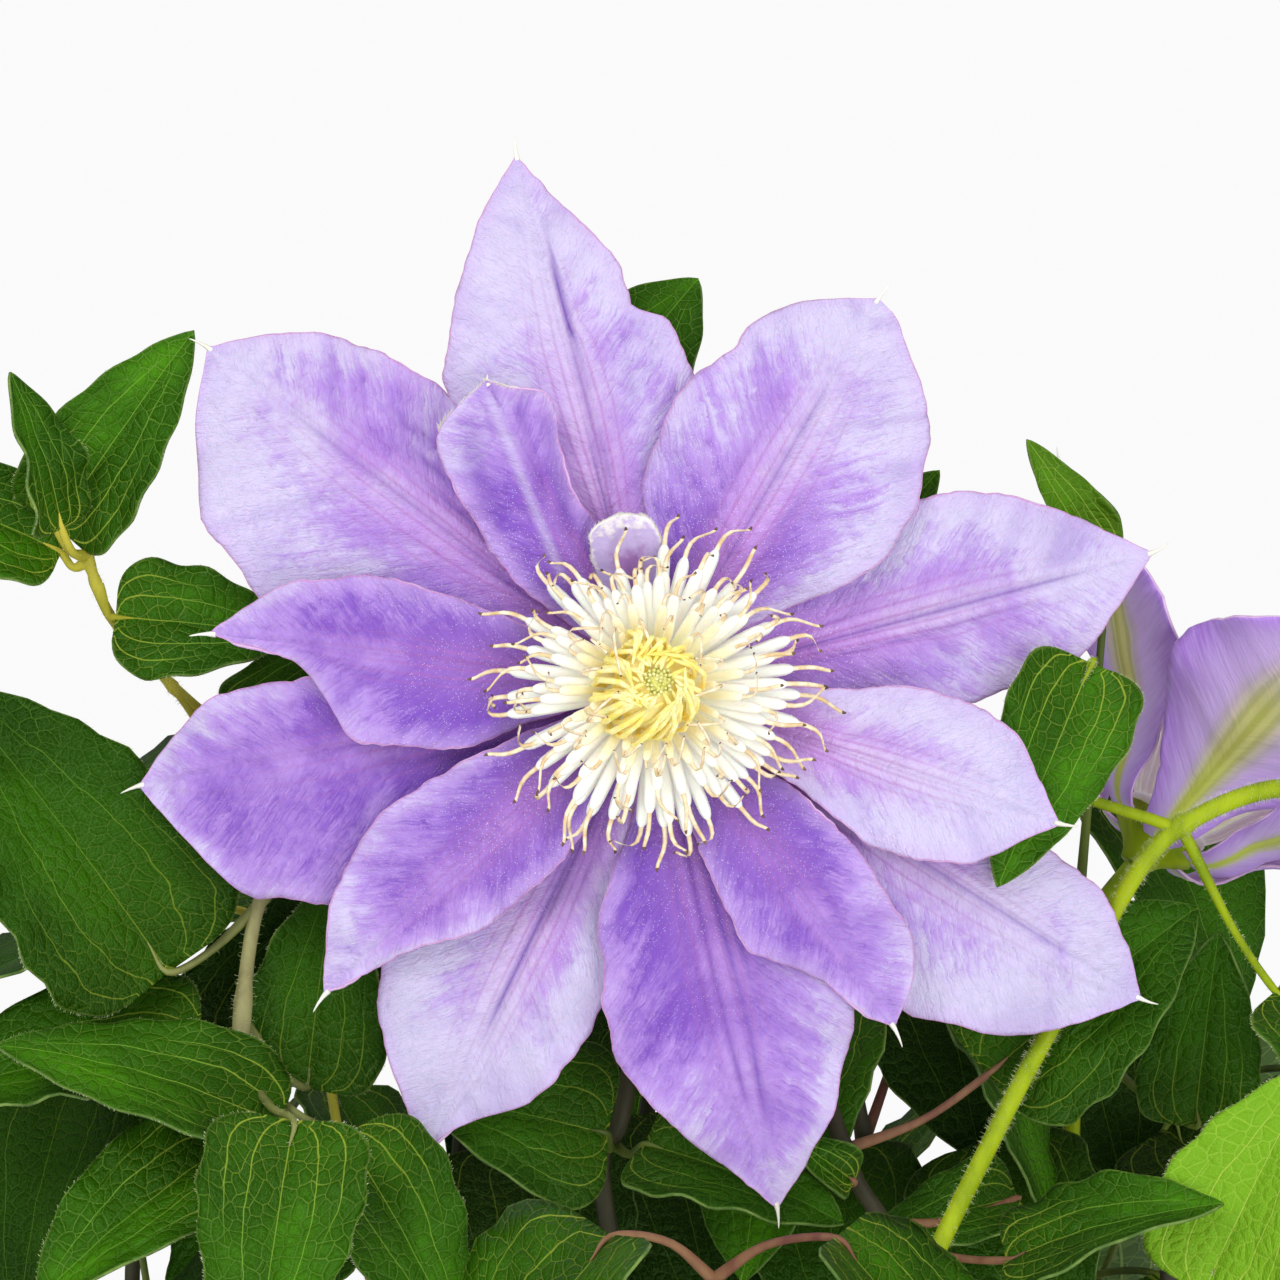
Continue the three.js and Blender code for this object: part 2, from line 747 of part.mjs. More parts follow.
// Leaves near the main bloom, from their base to their tip in millimetres around its centre.
// The petiole leaves its stem at a share of the stem's length.
const nearLeaves = {
  stem_upper_left: [
    { share: 1, base: [-79.5, 21.5, -10], tip: [-61.5, 47, -8], width: 17, face: [0.1, 0.3, 1] },
    { share: 1, base: [-78, 21, -9], tip: [-84, 41, -4], width: 12, face: [1, 0.2, 0.8] },
    { share: 0.99, base: [-79, 18, -8], tip: [-104, 27, -9], width: 17, face: [0.1, 0.6, 1] },
    { share: 0.94, base: [-71.5, 9.3, -9], tip: [-48.5, 6.5, -13], width: 16.5, face: [0, 0.3, 1] },
    { share: 0.72, base: [-56, -4, -20], tip: [-42, 6, -22], width: 10, face: [0, 0.3, 1] },
  ],
  stem_left: [
    { share: 0.92, base: [-64.5, -38, -9], tip: [-94, 0, -11], width: 31, face: [0.2, 0.3, 1] },
    { share: 0.76, base: [-60, -47.5, -9], tip: [-99, -57, -12], width: 25, face: [0, 1, 0.8] },
    { share: 0.72, base: [-49, -57.5, 0], tip: [-85, -46, 4], width: 20, face: [0, 1, 0.9] },
    { share: 0.7, base: [-57, -61, -3], tip: [-80, -80, 4], width: 20, face: [-0.2, 0.8, 1] },
    { share: 0.72, base: [-46.5, -56, 3], tip: [-51, -90, 10], width: 22, face: [0, 0.6, 1] },
    { share: 0.72, base: [-40.5, -58.8, -3], tip: [-25, -87, 2], width: 19, face: [0.2, 0.6, 1] },
    { share: 0.76, base: [-46.5, -54, -8], tip: [-43, -26, -12], width: 20, face: [0, 0.2, 1] },
    { share: 0.78, base: [-57, -50, -18], tip: [-44, -27, -22], width: 21, face: [0, 0.3, 1] },
  ],
  stem_front: [
    { share: 0.5, base: [-6, -60, -13], tip: [-30, -55, -10], width: 24, face: [0.1, 0.5, 1] },
    { share: 0.5, base: [-1, -61.5, -13], tip: [25, -71, -4], width: 19, face: [0, 0.7, 0.8] },
  ],
  stem_lower_right: [
    { share: 0.85, base: [27, -66, -10], tip: [19, -60, -7], width: 7, face: [0, 0.5, 1] },
    { share: 0.86, base: [45, -52, -13], tip: [73, -30, -16], width: 26, face: [0, 0.4, 1] },
    { share: 0.72, base: [47, -76, -6], tip: [74, -67, 2], width: 17, face: [0, 1, 0.7] },
    { share: 0.72, base: [50, -70, -16], tip: [30, -75, -10], width: 13, face: [0, 0.8, 1] },
  ],
  stem_second_bloom: [
    { share: 0.6, base: [74, -60, -24], tip: [77, -34, -22], width: 17, face: [-0.2, 0.1, 1] },
    { share: 0.72, base: [61.5, 17, -18], tip: [50.8, 33.1, -15], width: 8, face: [0, 0.3, 1] },
    { share: 0.45, base: [62, -46, -66], tip: [70, -80, -56], width: 30, face: [0, 0.3, 1] },
    { share: 0.32, base: [74, -64, -62], tip: [98, -88, -54], width: 26, face: [0, 0.4, 1] },
  ],
  stem_right: [
    { share: 0.33, base: [73, -80, 2], tip: [88, -50, 2], width: 22, face: [-0.3, 0.4, 1] },
    {
      share: 0.7, base: [57.5, 3.3, 1.5], tip: [45.5, -25.3, 2.6], width: 17.5,
      face: [0.15, 0.1, 1], fold: 0.05, arch: 10, by: [48.5, -10, -8],
    },
    { share: 0.7, base: [84, -41, -10], tip: [104, -60, -6], width: 20, face: [0.2, 0.8, 0.8] },
  ],
  stem_middle: [
    { share: 0.96, base: [-8.5, 36, -17], tip: [6, 54.8, -15], width: 20, face: [0, 0.2, 1] },
    { share: 0.9, base: [26, 14, -20], tip: [38.5, 29, -17], width: 11, face: [0, 0.3, 1] },
    { share: 0.36, base: [2, -62, -66], tip: [10, -96, -56], width: 30, face: [0, 0.3, 1] },
    { share: 0.48, base: [-8, -44, -70], tip: [-28, -74, -62], width: 30, face: [0, 0.3, 1] },
    { share: 0.5, base: [12, -40, -74], tip: [26, -72, -70], width: 30, face: [0, 0.3, 1] },
  ],
  stem_middle_left: [
    { share: 0.62, base: [-18, -66, -56], tip: [-12, -98, -48], width: 29, face: [0, 0.3, 1] },
    { share: 0.62, base: [-48, -68, -56], tip: [-66, -96, -46], width: 28, face: [0, 0.4, 1] },
    { share: 0.9, base: [-40, -34, -58], tip: [-64, -58, -54], width: 28, face: [0, 0.3, 1] },
  ],
  stem_side_left: [
    { share: 0.6, base: [-76, -58, -54], tip: [-92, -86, -44], width: 25, face: [0, 0.4, 1] },
  ],
  stem_middle_right: [
    { share: 0.6, base: [24, -67, -55], tip: [28, -97, -45], width: 28, face: [0, 0.3, 1] },
    { share: 0.85, base: [40, -36, -62], tip: [47, -68, -56], width: 29, face: [0, 0.3, 1] },
    { share: 0.72, base: [47, -65, -52], tip: [57, -95, -44], width: 27, face: [0, 0.3, 1] },
  ],
};

// How far a leaf near the bloom may be moved in or out to lie clear of its neighbours.
const nearShifts = [0, -1.5, 1.5, -3, 3, -4.5, 4.5, -6, 6, -8, 8, -10, 10, -12];

// Other leaves: a stem's nodes bear them in opposite pairs, each pair square to the last.
const stemLeaves = [
  { on: 'stem_front', nodes: [0.22, 0.36] },
  { on: 'stem_left', nodes: [0.32, 0.46] },
  { on: 'stem_upper_left', nodes: [0.3, 0.48] },
  { on: 'stem_right', nodes: [0.2] },
  { on: 'stem_lower_right', nodes: [0.36] },
  { on: 'stem_second_bloom', nodes: [0.4] },
  { on: 'stem_back_left', nodes: [0.36, 0.66, 1] },
  { on: 'stem_back', nodes: [0.36, 0.66, 1] },
  { on: 'stem_back_right', nodes: [0.36, 0.66, 1] },
  { on: 'stem_middle', nodes: [0.3] },
  { on: 'stem_middle_left', nodes: [1] },
  { on: 'stem_middle_right', nodes: [1] },
  { on: 'stem_low_left', nodes: [0.42, 0.72, 1] },
  { on: 'stem_low_front', nodes: [0.42, 0.72, 1] },
  { on: 'stem_low_right', nodes: [0.42, 0.72, 1] },
  { on: 'stem_side_left', nodes: [0.42, 0.72, 1] },
  { on: 'stem_side_right', nodes: [0.42, 0.72, 1] },
];

// The swings a leaf tries in turn until it lies clear: a turn about the stem and a change of pitch.
const swings = [];
for (const turn of [0, 16, -16, 32, -32, 48, -48, 64, -64]) {
  for (const pitch of [0, 14, -14]) swings.push([turn, pitch]);
}

const occupied = [];

function boxesMeet(a, b) {
  return [0, 1, 2].every((axis) => a.min[axis] <= b.max[axis] && b.min[axis] <= a.max[axis]);
}

function occupy(owner, solid) {
  occupied.push({ owner, solid, box: solid.boundingBox() });
}

function isClear(solid, ignoredOwner) {
  const box = solid.boundingBox();
  return occupied.every(
    (other) =>
      other.owner === ignoredOwner || !boxesMeet(box, other.box) || solid.intersect(other.solid).isEmpty(),
  );
}

// One leaf with its stalk. The test pieces are a little fatter, so that what clears them keeps a gap.
function leafPieces(leaf, frame, start, middle, rows) {
  const surface = leafSurface(leaf, frame);
  const fatSurface = leafSurface({ ...leaf, width: leaf.width + 1.4, length: leaf.length + 0.8 }, frame);
  return {
    blade: solidOf(sheet(surface, 2, rows, bladeThickness)),
    petiole: solidOf(petioleGeometry(start, middle, surface, rows, 0)),
    fatBlade: solidOf(sheet(fatSurface, 2, rows, bladeThickness + 3 * clearance)),
    fatPetiole: solidOf(petioleGeometry(start, middle, surface, rows, 2 * clearance)),
  };
}

function plant(stem, pieces) {
  for (const piece of pieces) {
    stem.solids.push(piece);
    occupy(stem.name, piece);
  }
}

function growNearLeaf(stem, spec, random) {
  const draw = (range) => between(...range, random());
  const start = stemPoint(stem, spec.share);
  const base = aroundBloom(...spec.base);
  const tip = aroundBloom(...spec.tip);
  const face = aroundBloom(...spec.face).sub(bloomCentre);
  const leaf = {
    length: base.distanceTo(tip) * 1.03,
    width: spec.width,
    arch: spec.arch ?? draw(nearRanges.arch),
    fold: spec.fold ?? draw(nearRanges.fold),
    heart: draw(nearRanges.heart),
    wave: draw(nearRanges.wave),
    phase: draw(nearRanges.phase),
  };
  const chord = tip.clone().sub(base);
  const rise = face.clone().normalize().multiplyScalar(chord.length() * Math.tan(radians(leaf.arch / 2)));
  for (const ignoredOwner of [null, stem.name]) {
    for (const shift of nearShifts) {
      const moved = base.clone().addScaledVector(bloomOut, shift);
      const frame = leafFrame(moved, chord.clone().add(rise), face);
      const middle = spec.by
        ? aroundBloom(...spec.by)
        : start.clone().lerp(moved, 0.55).addScaledVector(bloomUp, -1.5);
      const pieces = leafPieces(leaf, frame, start, middle, nearLeafRows);
      if (isClear(pieces.fatBlade, ignoredOwner) && isClear(pieces.fatPetiole, stem.name)) {
        plant(stem, [pieces.blade, pieces.petiole]);
        return;
      }
    }
  }
}

function growStemLeaf(stem, share, around, size, random) {
  const draw = (range) => between(...range, random());
  const start = stemPoint(stem, share);
  const petioleLength = draw(leafRanges.petiole) * size;
  const rise = radians(draw(leafRanges.rise));
  const pitch = draw(leafRanges.pitch);
  const roll = radians(draw(leafRanges.roll));
  const length = draw(leafRanges.length) * size;
  const leaf = {
    length,
    width: length * draw(leafRanges.widthShare),
    arch: draw(leafRanges.arch),
    fold: draw(leafRanges.fold),
    heart: draw(leafRanges.heart),
    wave: draw(leafRanges.wave),
    phase: draw(leafRanges.phase),
  };
  for (const ignoredOwner of [null, stem.name]) {
    for (const [turn, tilt] of swings) {
      const azimuth = around + radians(turn);
      const angle = radians(pitch + tilt);
      const level = new THREE.Vector3(Math.cos(azimuth), Math.sin(azimuth), 0);
      const up = new THREE.Vector3(0, 0, 1);
      const base = start
        .clone()
        .addScaledVector(level, petioleLength * Math.cos(rise))
        .addScaledVector(up, petioleLength * Math.sin(rise));
      const way = level.clone().multiplyScalar(Math.cos(angle)).addScaledVector(up, Math.sin(angle));
      const face = level.clone().multiplyScalar(-Math.sin(angle)).addScaledVector(up, Math.cos(angle));
      const frame = leafFrame(base, way, face.applyAxisAngle(way, roll));
      const middle = start
        .clone()
        .addScaledVector(level, petioleLength * 0.45 * Math.cos(rise))
        .addScaledVector(up, petioleLength * 0.62 * Math.sin(rise) + 0.8);
      const pieces = leafPieces(leaf, frame, start, middle, leafRows);
      if (isClear(pieces.fatBlade, ignoredOwner) && isClear(pieces.fatPetiole, stem.name)) {
        plant(stem, [pieces.blade, pieces.petiole]);
        return;
      }
    }
  }
}

// Assembly

const model = new THREE.Group();
const materials = {
  clay: { color: 0xb5704d, roughness: 0.85 },
  earth: { color: 0x35271d, roughness: 1 },
  foliage: { color: 0x2f6b22, roughness: 0.5 },
  tepal: { color: 0xa78fdd, roughness: 0.6 },
  stamen: { color: 0xf3ecd2, roughness: 0.6 },
  heart: { color: 0xe8e08a, roughness: 0.6 },
  bud: { color: 0x8fa06a, roughness: 0.6 },
};

function addMesh(name, solid, material) {
  const mesh = new THREE.Mesh(
    geometryOf(solid),
    new THREE.MeshStandardMaterial({ ...materials[material], metalness: 0 }),
  );
  mesh.name = name;
  model.add(mesh);
}

const pot = potSolid();
const soil = soilSolid(stems.map((stem) => ({ radius: stem.radius, x: stem.foot[0], y: stem.foot[1] })));
const frontBloom = {
  tepals: tepalsSolid([...frontTepals, petaloid], tepalRows, 0, frontFrame),
  stamens: stamensSolid(frontStamens, 0, true, frontFrame),
  heart: heartSolid(frontHeartStamens, frontFrame),
};
const secondBloom = {
  tepals: tepalsSolid(secondTepals, plainTepalRows, secondRaise, secondFrame),
  stamens: stamensSolid(secondStamens, secondStamenRaise, false, secondFrame),
  heart: heartSolid(secondHeartStamens, secondFrame),
};

// A closed, pointed bud that nods at the end of the right stem's stalk.
function budSolid() {
  const profile = [
    [0, 0],
    [2.2, 0],
    [4.6, 3],
    [6.6, 9],
    [6.2, 16],
    [3.6, 23],
    [0, 29],
  ].map(([r, z]) => new THREE.Vector2(r, z));
  const body = new THREE.LatheGeometry(profile, 12).rotateX(Math.PI / 2);
  const position = body.attributes.position;
  for (let i = 0; i < position.count; i += 1) {
    const turn = Math.atan2(position.getY(i), position.getX(i));
    const ridge = 1 + 0.1 * Math.cos(6 * turn);
    position.setX(i, position.getX(i) * ridge);
    position.setY(i, position.getY(i) * ridge);
  }
  const { curve } = stemNamed('stem_right');
  const way = curve.getTangent(1);
  const frame = bloomFrame(curve.getPoint(1).addScaledVector(way, clearance), way, bloomOut);
  return solidOf(body.applyMatrix4(frame));
}

for (const stem of stems) {
  stem.curve = stemCurve(stem);
  stem.solids = [];
}
const bud = budSolid();
const fixtures = [pot, soil, ...Object.values(frontBloom), ...Object.values(secondBloom), bud];
for (const fixture of fixtures) occupy('fixture', fixture);
for (const stem of stems) plant(stem, [stemTube(stem)]);

const nearRandom = seededRandom(5);
for (const [name, specs] of Object.entries(nearLeaves)) {
  for (const spec of specs) growNearLeaf(stemNamed(name), spec, nearRandom);
}

const leafRandom = seededRandom(29);
for (const { on, nodes } of stemLeaves) {
  const stem = stemNamed(on);
  nodes.forEach((share, i) => {
    const point = stemPoint(stem, share);
    const outward = Math.atan2(point.y, point.x);
    const isSpread = i % 2 === 0;
    const around = outward + radians(between(-20, 20, leafRandom())) + (isSpread ? Math.PI / 2.6 : 0);
    const opposite = isSpread ? outward * 2 - around : around + Math.PI;
    growStemLeaf(stem, share, around, 1, leafRandom);
    growStemLeaf(stem, share, opposite, isSpread ? 1 : innerLeafSize, leafRandom);
  });
}

addMesh('pot', pot, 'clay');
addMesh('soil', soil, 'earth');
for (const stem of stems) addMesh(stem.name, joined(stem.solids), 'foliage');
addMesh('bloom_front_tepals', frontBloom.tepals, 'tepal');
addMesh('bloom_front_stamens', frontBloom.stamens, 'stamen');
addMesh('bloom_front_heart', frontBloom.heart, 'heart');
addMesh('bloom_second_tepals', secondBloom.tepals, 'tepal');
addMesh('bloom_second_stamens', secondBloom.stamens, 'stamen');
addMesh('bloom_second_heart', secondBloom.heart, 'heart');
addMesh('bud_right', bud, 'bud');

export default model;
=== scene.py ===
import math
import random
from functools import partial

import bpy
import numpy as np
from mathutils import Matrix, Vector, noise
from mathutils.bvhtree import BVHTree


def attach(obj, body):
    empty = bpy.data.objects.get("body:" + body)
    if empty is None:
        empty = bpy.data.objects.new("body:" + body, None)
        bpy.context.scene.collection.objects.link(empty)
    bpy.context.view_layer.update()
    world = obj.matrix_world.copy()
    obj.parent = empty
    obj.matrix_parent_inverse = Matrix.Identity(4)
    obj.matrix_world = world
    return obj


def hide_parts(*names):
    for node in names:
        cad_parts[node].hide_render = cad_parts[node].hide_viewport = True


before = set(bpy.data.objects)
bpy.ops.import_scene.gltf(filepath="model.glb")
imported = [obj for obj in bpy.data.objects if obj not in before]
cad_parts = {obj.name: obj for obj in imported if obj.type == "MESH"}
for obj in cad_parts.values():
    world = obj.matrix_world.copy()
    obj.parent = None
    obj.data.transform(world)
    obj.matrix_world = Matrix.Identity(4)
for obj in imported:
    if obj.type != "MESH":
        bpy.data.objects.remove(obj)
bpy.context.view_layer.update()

mm = 0.001  # every table below is in millimetres

# The main bloom: its centre, and how far it leans back
bloom = {"centre": (0, -62, 304), "tilt": 12}
centre = Vector(bloom["centre"])
tilt = math.radians(bloom["tilt"])
bloomRight = Vector((1, 0, 0))
bloomUp = Vector((0, math.sin(tilt), math.cos(tilt)))
bloomOut = bloomRight.cross(bloomUp)


def aroundBloom(right, up, out):
    return centre + bloomRight * right + bloomUp * up + bloomOut * out


def at(x, y, z):
    return Vector((x, y, z))


def between(low, high, share):
    return low + (high - low) * share


def smooth(x):
    t = np.clip(x, 0, 1)
    return t * t * (3 - 2 * t)


def bump(x, middle, width):
    return np.exp(-(((x - middle) / width) ** 2))


# Draws that come out the same each time
def seededDraws(seed):
    state = [seed]

    def draw(low=0.0, high=1.0):
        state[0] = state[0] * 16807 % 2147483647
        return between(low, high, state[0] / 2147483647)

    return draw


def newObject(name, data):
    holder = bpy.data.objects.new(name, data)
    bpy.context.scene.collection.objects.link(holder)
    return holder


# Camera: the photograph's height and nearness
camera = {"distance": 650, "frameWidth": 168.3, "right": -1.6, "up": 6.3}


def addCamera():
    data = bpy.data.cameras.new("camera")
    data.sensor_width = 36
    data.lens = 36 * camera["distance"] / camera["frameWidth"]
    data.clip_start = 0.01
    holder = newObject("camera", data)
    place = aroundBloom(camera["right"], camera["up"], camera["distance"]) * mm
    turn = Matrix((bloomRight, bloomUp, bloomOut)).transposed().to_4x4()
    holder.matrix_world = Matrix.Translation(place) @ turn
    bpy.context.scene.camera = holder


addCamera()
print("stage 1: camera")


def clearSelection():
    if bpy.context.object and bpy.context.object.mode != "OBJECT":
        bpy.ops.object.mode_set(mode="OBJECT")
    bpy.ops.object.select_all(action="DESELECT")


def pick(piece):
    clearSelection()
    piece.select_set(True)
    bpy.context.view_layer.objects.active = piece


def applyModifier(piece, kind, **settings):
    modifier = piece.modifiers.new(kind.lower(), kind)
    for name, value in settings.items():
        setattr(modifier, name, value)
    pick(piece)
    bpy.ops.object.modifier_apply(modifier=modifier.name)


def joinAll(name, pieces):
    clearSelection()
    for piece in pieces:
        piece.select_set(True)
    bpy.context.view_layer.objects.active = pieces[0]
    bpy.ops.object.join()
    joinedPiece = bpy.context.object
    joinedPiece.name = name
    joinedPiece.data.name = name
    return joinedPiece


def dress(piece, *looks):
    piece.data.materials.clear()
    for look in looks:
        piece.data.materials.append(materials[look])


def copyOf(template, name):
    return newObject(name, template.data.copy())


def placesOf(piece):
    co = np.empty(len(piece.data.vertices) * 3)
    piece.data.vertices.foreach_get("co", co)
    return co.reshape(-1, 3)


def setPlaces(piece, places):
    piece.data.vertices.foreach_set("co", np.asarray(places, float).ravel())
    piece.data.update()


def setAttribute(piece, name, values):
    kind = "FLOAT" if values.ndim == 1 else "FLOAT_VECTOR"
    attribute = piece.data.attributes.new(name, kind, "POINT")
    attribute.data.foreach_set("value" if values.ndim == 1 else "vector", values.astype(np.float32).ravel())


def finishPiece(piece, slot, *nodes):
    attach(piece, "root")
    if nodes:
        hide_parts(*nodes)


def smoothed(piece):
    pick(piece)
    bpy.ops.object.shade_smooth()
    return piece


# A turned shape: a filled circle, drawn out ring by ring
def turned(name, sides, rings):
    clearSelection()
    z, radius = rings[0]
    bpy.ops.mesh.primitive_circle_add(vertices=sides, radius=radius, fill_type="NGON", location=(0, 0, z))
    piece = bpy.context.object
    piece.name = name
    bpy.ops.object.transform_apply(location=True, rotation=True, scale=True)
    bpy.ops.object.mode_set(mode="EDIT")
    bpy.ops.mesh.select_mode(type="FACE")
    bpy.ops.mesh.select_all(action="SELECT")
    for (fromZ, fromRadius), (toZ, toRadius) in zip(rings, rings[1:]):
        bpy.ops.mesh.extrude_region_move(TRANSFORM_OT_translate={"value": (0, 0, toZ - fromZ)})
        scale = toRadius / fromRadius
        bpy.ops.transform.resize(value=(scale, scale, 1), center_override=(0, 0, 0))
    bpy.ops.mesh.select_all(action="SELECT")
    bpy.ops.mesh.remove_doubles(threshold=1e-6)
    bpy.ops.mesh.normals_make_consistent(inside=False)
    bpy.ops.object.mode_set(mode="OBJECT")
    return piece


def blankSheet(name, across, along):
    clearSelection()
    bpy.ops.mesh.primitive_grid_add(x_subdivisions=across, y_subdivisions=along, size=2)
    sheet = bpy.context.object
    sheet.name = name
    return sheet


# A turned shape at its place on a bloom
def turnedAt(place, name, sides, rings, look, aside=(0, 0)):
    piece = turned(name, sides, rings)
    setPlaces(piece, moved(placesOf(piece) + np.array([*aside, 0]), place) * mm)
    dress(piece, look)
    return piece


# A sheet with its tip closed and a thickness given: a face, a back and a rim
def thickened(piece, face, back, rim):
    dress(piece, face, back, rim)
    pick(piece)
    bpy.ops.object.mode_set(mode="EDIT")
    bpy.ops.mesh.select_all(action="SELECT")
    bpy.ops.mesh.remove_doubles(threshold=sheet["merge"] * mm)
    bpy.ops.object.mode_set(mode="OBJECT")
    applyModifier(
        piece, "SOLIDIFY", thickness=sheet["thickness"] * mm, offset=0,
        material_offset=1, material_offset_rim=2, use_even_offset=False,
    )
    return piece


sheet = {"thickness": 0.4, "merge": 0.02}

# The material being made, with its tree and shader; the tools below add their nodes to that tree
making = {}


def newMaterial(name, roughness, **settings):
    material = bpy.data.materials.new(name)
    material.use_nodes = True
    shader = material.node_tree.nodes["Principled BSDF"]
    making.update(material=material, tree=material.node_tree, shader=shader)
    for key, value in {"Roughness": roughness, **settings}.items():
        shader.inputs[key.replace("_", " ")].default_value = value


def feed(socket, value):
    if isinstance(value, bpy.types.NodeSocket):
        making["tree"].links.new(value, socket)
    elif socket.type == "RGBA" and len(value) == 3:
        socket.default_value = (*value, 1)
    else:
        socket.default_value = value


def node(kind, inputs, **settings):
    made = making["tree"].nodes.new("ShaderNode" + kind)
    for name, value in settings.items():
        setattr(made, name, value)
    for key, value in inputs.items():
        feed(made.inputs[key], value)
    return made.outputs


def maths(operation, *values, clamp=False):
    return node("Math", dict(enumerate(values)), operation=operation, use_clamp=clamp)[0]


times, plus, minus = (partial(maths, operation) for operation in ("MULTIPLY", "ADD", "SUBTRACT"))
timesPlus, larger = (partial(maths, operation) for operation in ("MULTIPLY_ADD", "MAXIMUM"))
absolute = partial(maths, "ABSOLUTE")


def mixed(factor, a, b):
    return node("Mix", {0: factor, 6: a, 7: b}, data_type="RGBA")[2]


def ranged(value, low, high, toLow=0.0, toHigh=1.0):
    given = dict(enumerate((value, low, high, toLow, toHigh)))
    return node("MapRange", given, interpolation_type="SMOOTHSTEP")[0]


def splitOf(vector):
    return node("SeparateXYZ", {0: vector})[:3]


def attributeParts(name):
    return splitOf(node("Attribute", {}, attribute_name=name)["Vector"])


def combined(x, y, z):
    return node("CombineXYZ", {0: x, 1: y, 2: z})[0]


def noiseOf(vector, scale, detail=2.0, roughness=0.5, distortion=0.0):
    given = {"Vector": vector, "Scale": scale, "Detail": detail, "Roughness": roughness}
    return node("TexNoise", {**given, "Distortion": distortion})["Fac"]


def cellsOf(vector, scale, feature="DISTANCE_TO_EDGE", randomness=1.0, dimensions="3D"):
    given = {"Vector": vector, "Scale": scale, "Randomness": randomness}
    return node("TexVoronoi", given, feature=feature, voronoi_dimensions=dimensions)["Distance"]


def objectPlaces():
    return node("TexCoord", {})["Object"]


# The material's colour and its low relief
def finished(colour, height, strength, depth):
    normal = node("Bump", {"Strength": strength, "Distance": depth * mm, "Height": height})[0]
    feed(making["shader"].inputs["Base Color"], colour)
    feed(making["shader"].inputs["Normal"], normal)
    return making["material"]


thinFlesh = {"Subsurface_Weight": 0.1, "Subsurface_Scale": 0.002}

# Tepals: lavender, violet towards the claw, with ribs along the middle and fine feathering
petal = {
    "pale": (0.61, 0.56, 0.79),
    "lavender": (0.42, 0.255, 0.69),
    "violet": (0.20, 0.075, 0.50),
    "night": (0.13, 0.035, 0.38),
    "magenta": (0.38, 0.13, 0.46),
    "flush": (0.62, 0.34, 0.72),
    "rim": (0.60, 0.26, 0.56),
    "pollen": (0.92, 0.88, 0.9),
}


def tepalMaterial():
    newMaterial("tepalFace", 0.55, **thinFlesh, Specular_IOR_Level=0.25, Sheen_Weight=0.12)
    x, y, half = attributeParts("blade")
    s, t, tone = attributeParts("kind")
    hollow, seam, lean = attributeParts("folds")
    side = absolute(x)
    share = absolute(s)
    offset = times(tone, 37.0)
    flat = combined(x, y, offset)
    patch = noiseOf(flat, 0.075, 3, 0.55)
    crumple = noiseOf(flat, 0.55, 4, 0.65, 0.6)
    drift = timesPlus(crumple, 1.6, times(patch, 5.0))
    feather = plus(timesPlus(side, -1.05, y), drift)
    lines = combined(feather, times(side, 0.16), offset)
    coarse = noiseOf(lines, 0.45, 3, 0.6, 0.5)
    fine = noiseOf(lines, 3.0, 3, 0.65, 0.3)
    edgeward = ranged(share, 0.06, 0.55)
    depth = timesPlus(tone, 0.9, -0.14)
    claw = times(ranged(t, 0.62, 0.15), timesPlus(tone, 0.25, 0.3))
    depth = plus(depth, claw)
    flank = times(ranged(absolute(minus(share, 0.3)), 0.28, 0.0), 0.22)
    depth = timesPlus(flank, ranged(t, 0.95, 0.5), depth)
    depth = minus(depth, ranged(share, 0.55, 1.0, 0.0, 0.3))
    depth = timesPlus(s, lean, depth)
    depth = timesPlus(minus(patch, 0.42), 1.3, depth)
    streak = times(minus(coarse, 0.5), edgeward)
    depth = timesPlus(streak, 0.8, depth)
    grain = times(minus(fine, 0.5), ranged(share, 0.0, 0.3))
    depth = timesPlus(grain, 0.7, depth)
    depth = timesPlus(minus(crumple, 0.5), 0.55, depth)
    tipward = ranged(t, 0.62, 1.0, 0.0, 0.4)
    depth = minus(depth, tipward, clamp=True)
    colour = mixed(ranged(depth, -0.08, 0.5), petal["pale"], petal["lavender"])
    colour = mixed(ranged(depth, 0.4, 1.0), colour, petal["violet"])
    # Deeper violet in the hollows of the relief: partly the tepal's own colour, partly painted shade
    colour = mixed(times(hollow, 0.55), colour, petal["violet"])
    bar = times(ranged(side, 7.5, 1.0), ranged(t, 0.9, 0.25, 0.0, 0.6))
    bar = times(bar, timesPlus(tone, -0.65, 1.0))
    colour = mixed(bar, colour, petal["flush"])
    ribFade = ranged(t, 0.97, 0.35)
    for rib, strength in ((0.0, 0.3), (0.07, 0.5), (0.17, 0.5), (0.28, 0.35)):
        away = times(absolute(minus(share, rib)), half)
        away = timesPlus(minus(crumple, 0.5), 0.5, away)
        line = times(ranged(away, 0.32, 0.0), strength)
        colour = mixed(times(line, ribFade), colour, petal["magenta"])
    # Seam creases darkened to deep violet: partly the tepal's colour, partly painted shade. Ridges, seams of
    # negative depth, lightened: painted highlight
    colour = mixed(times(seam, 1.15, clamp=True), colour, petal["night"])
    colour = mixed(times(seam, -1.0, clamp=True), colour, petal["pale"])
    inFromEdge = times(minus(1.0, share), half)
    blush = times(ranged(inFromEdge, 3.5, 0.0), 0.4)
    colour = mixed(blush, colour, (0.55, 0.38, 0.76))
    colour = mixed(ranged(inFromEdge, 0.3, 0.05, 0, 0.75), colour, petal["rim"])
    specks = cellsOf(flat, 2.9, "F1")
    drifts = ranged(timesPlus(y, -0.012, patch), -0.1, 0.3)
    dusted = times(ranged(specks, 0.2, 0.1), drifts)
    colour = mixed(times(dusted, 0.8), colour, petal["pollen"])
    height = timesPlus(fine, 0.6, times(coarse, 0.9))
    height = timesPlus(crumple, 1.0, height)
    return finished(colour, height, 0.85, 0.55)


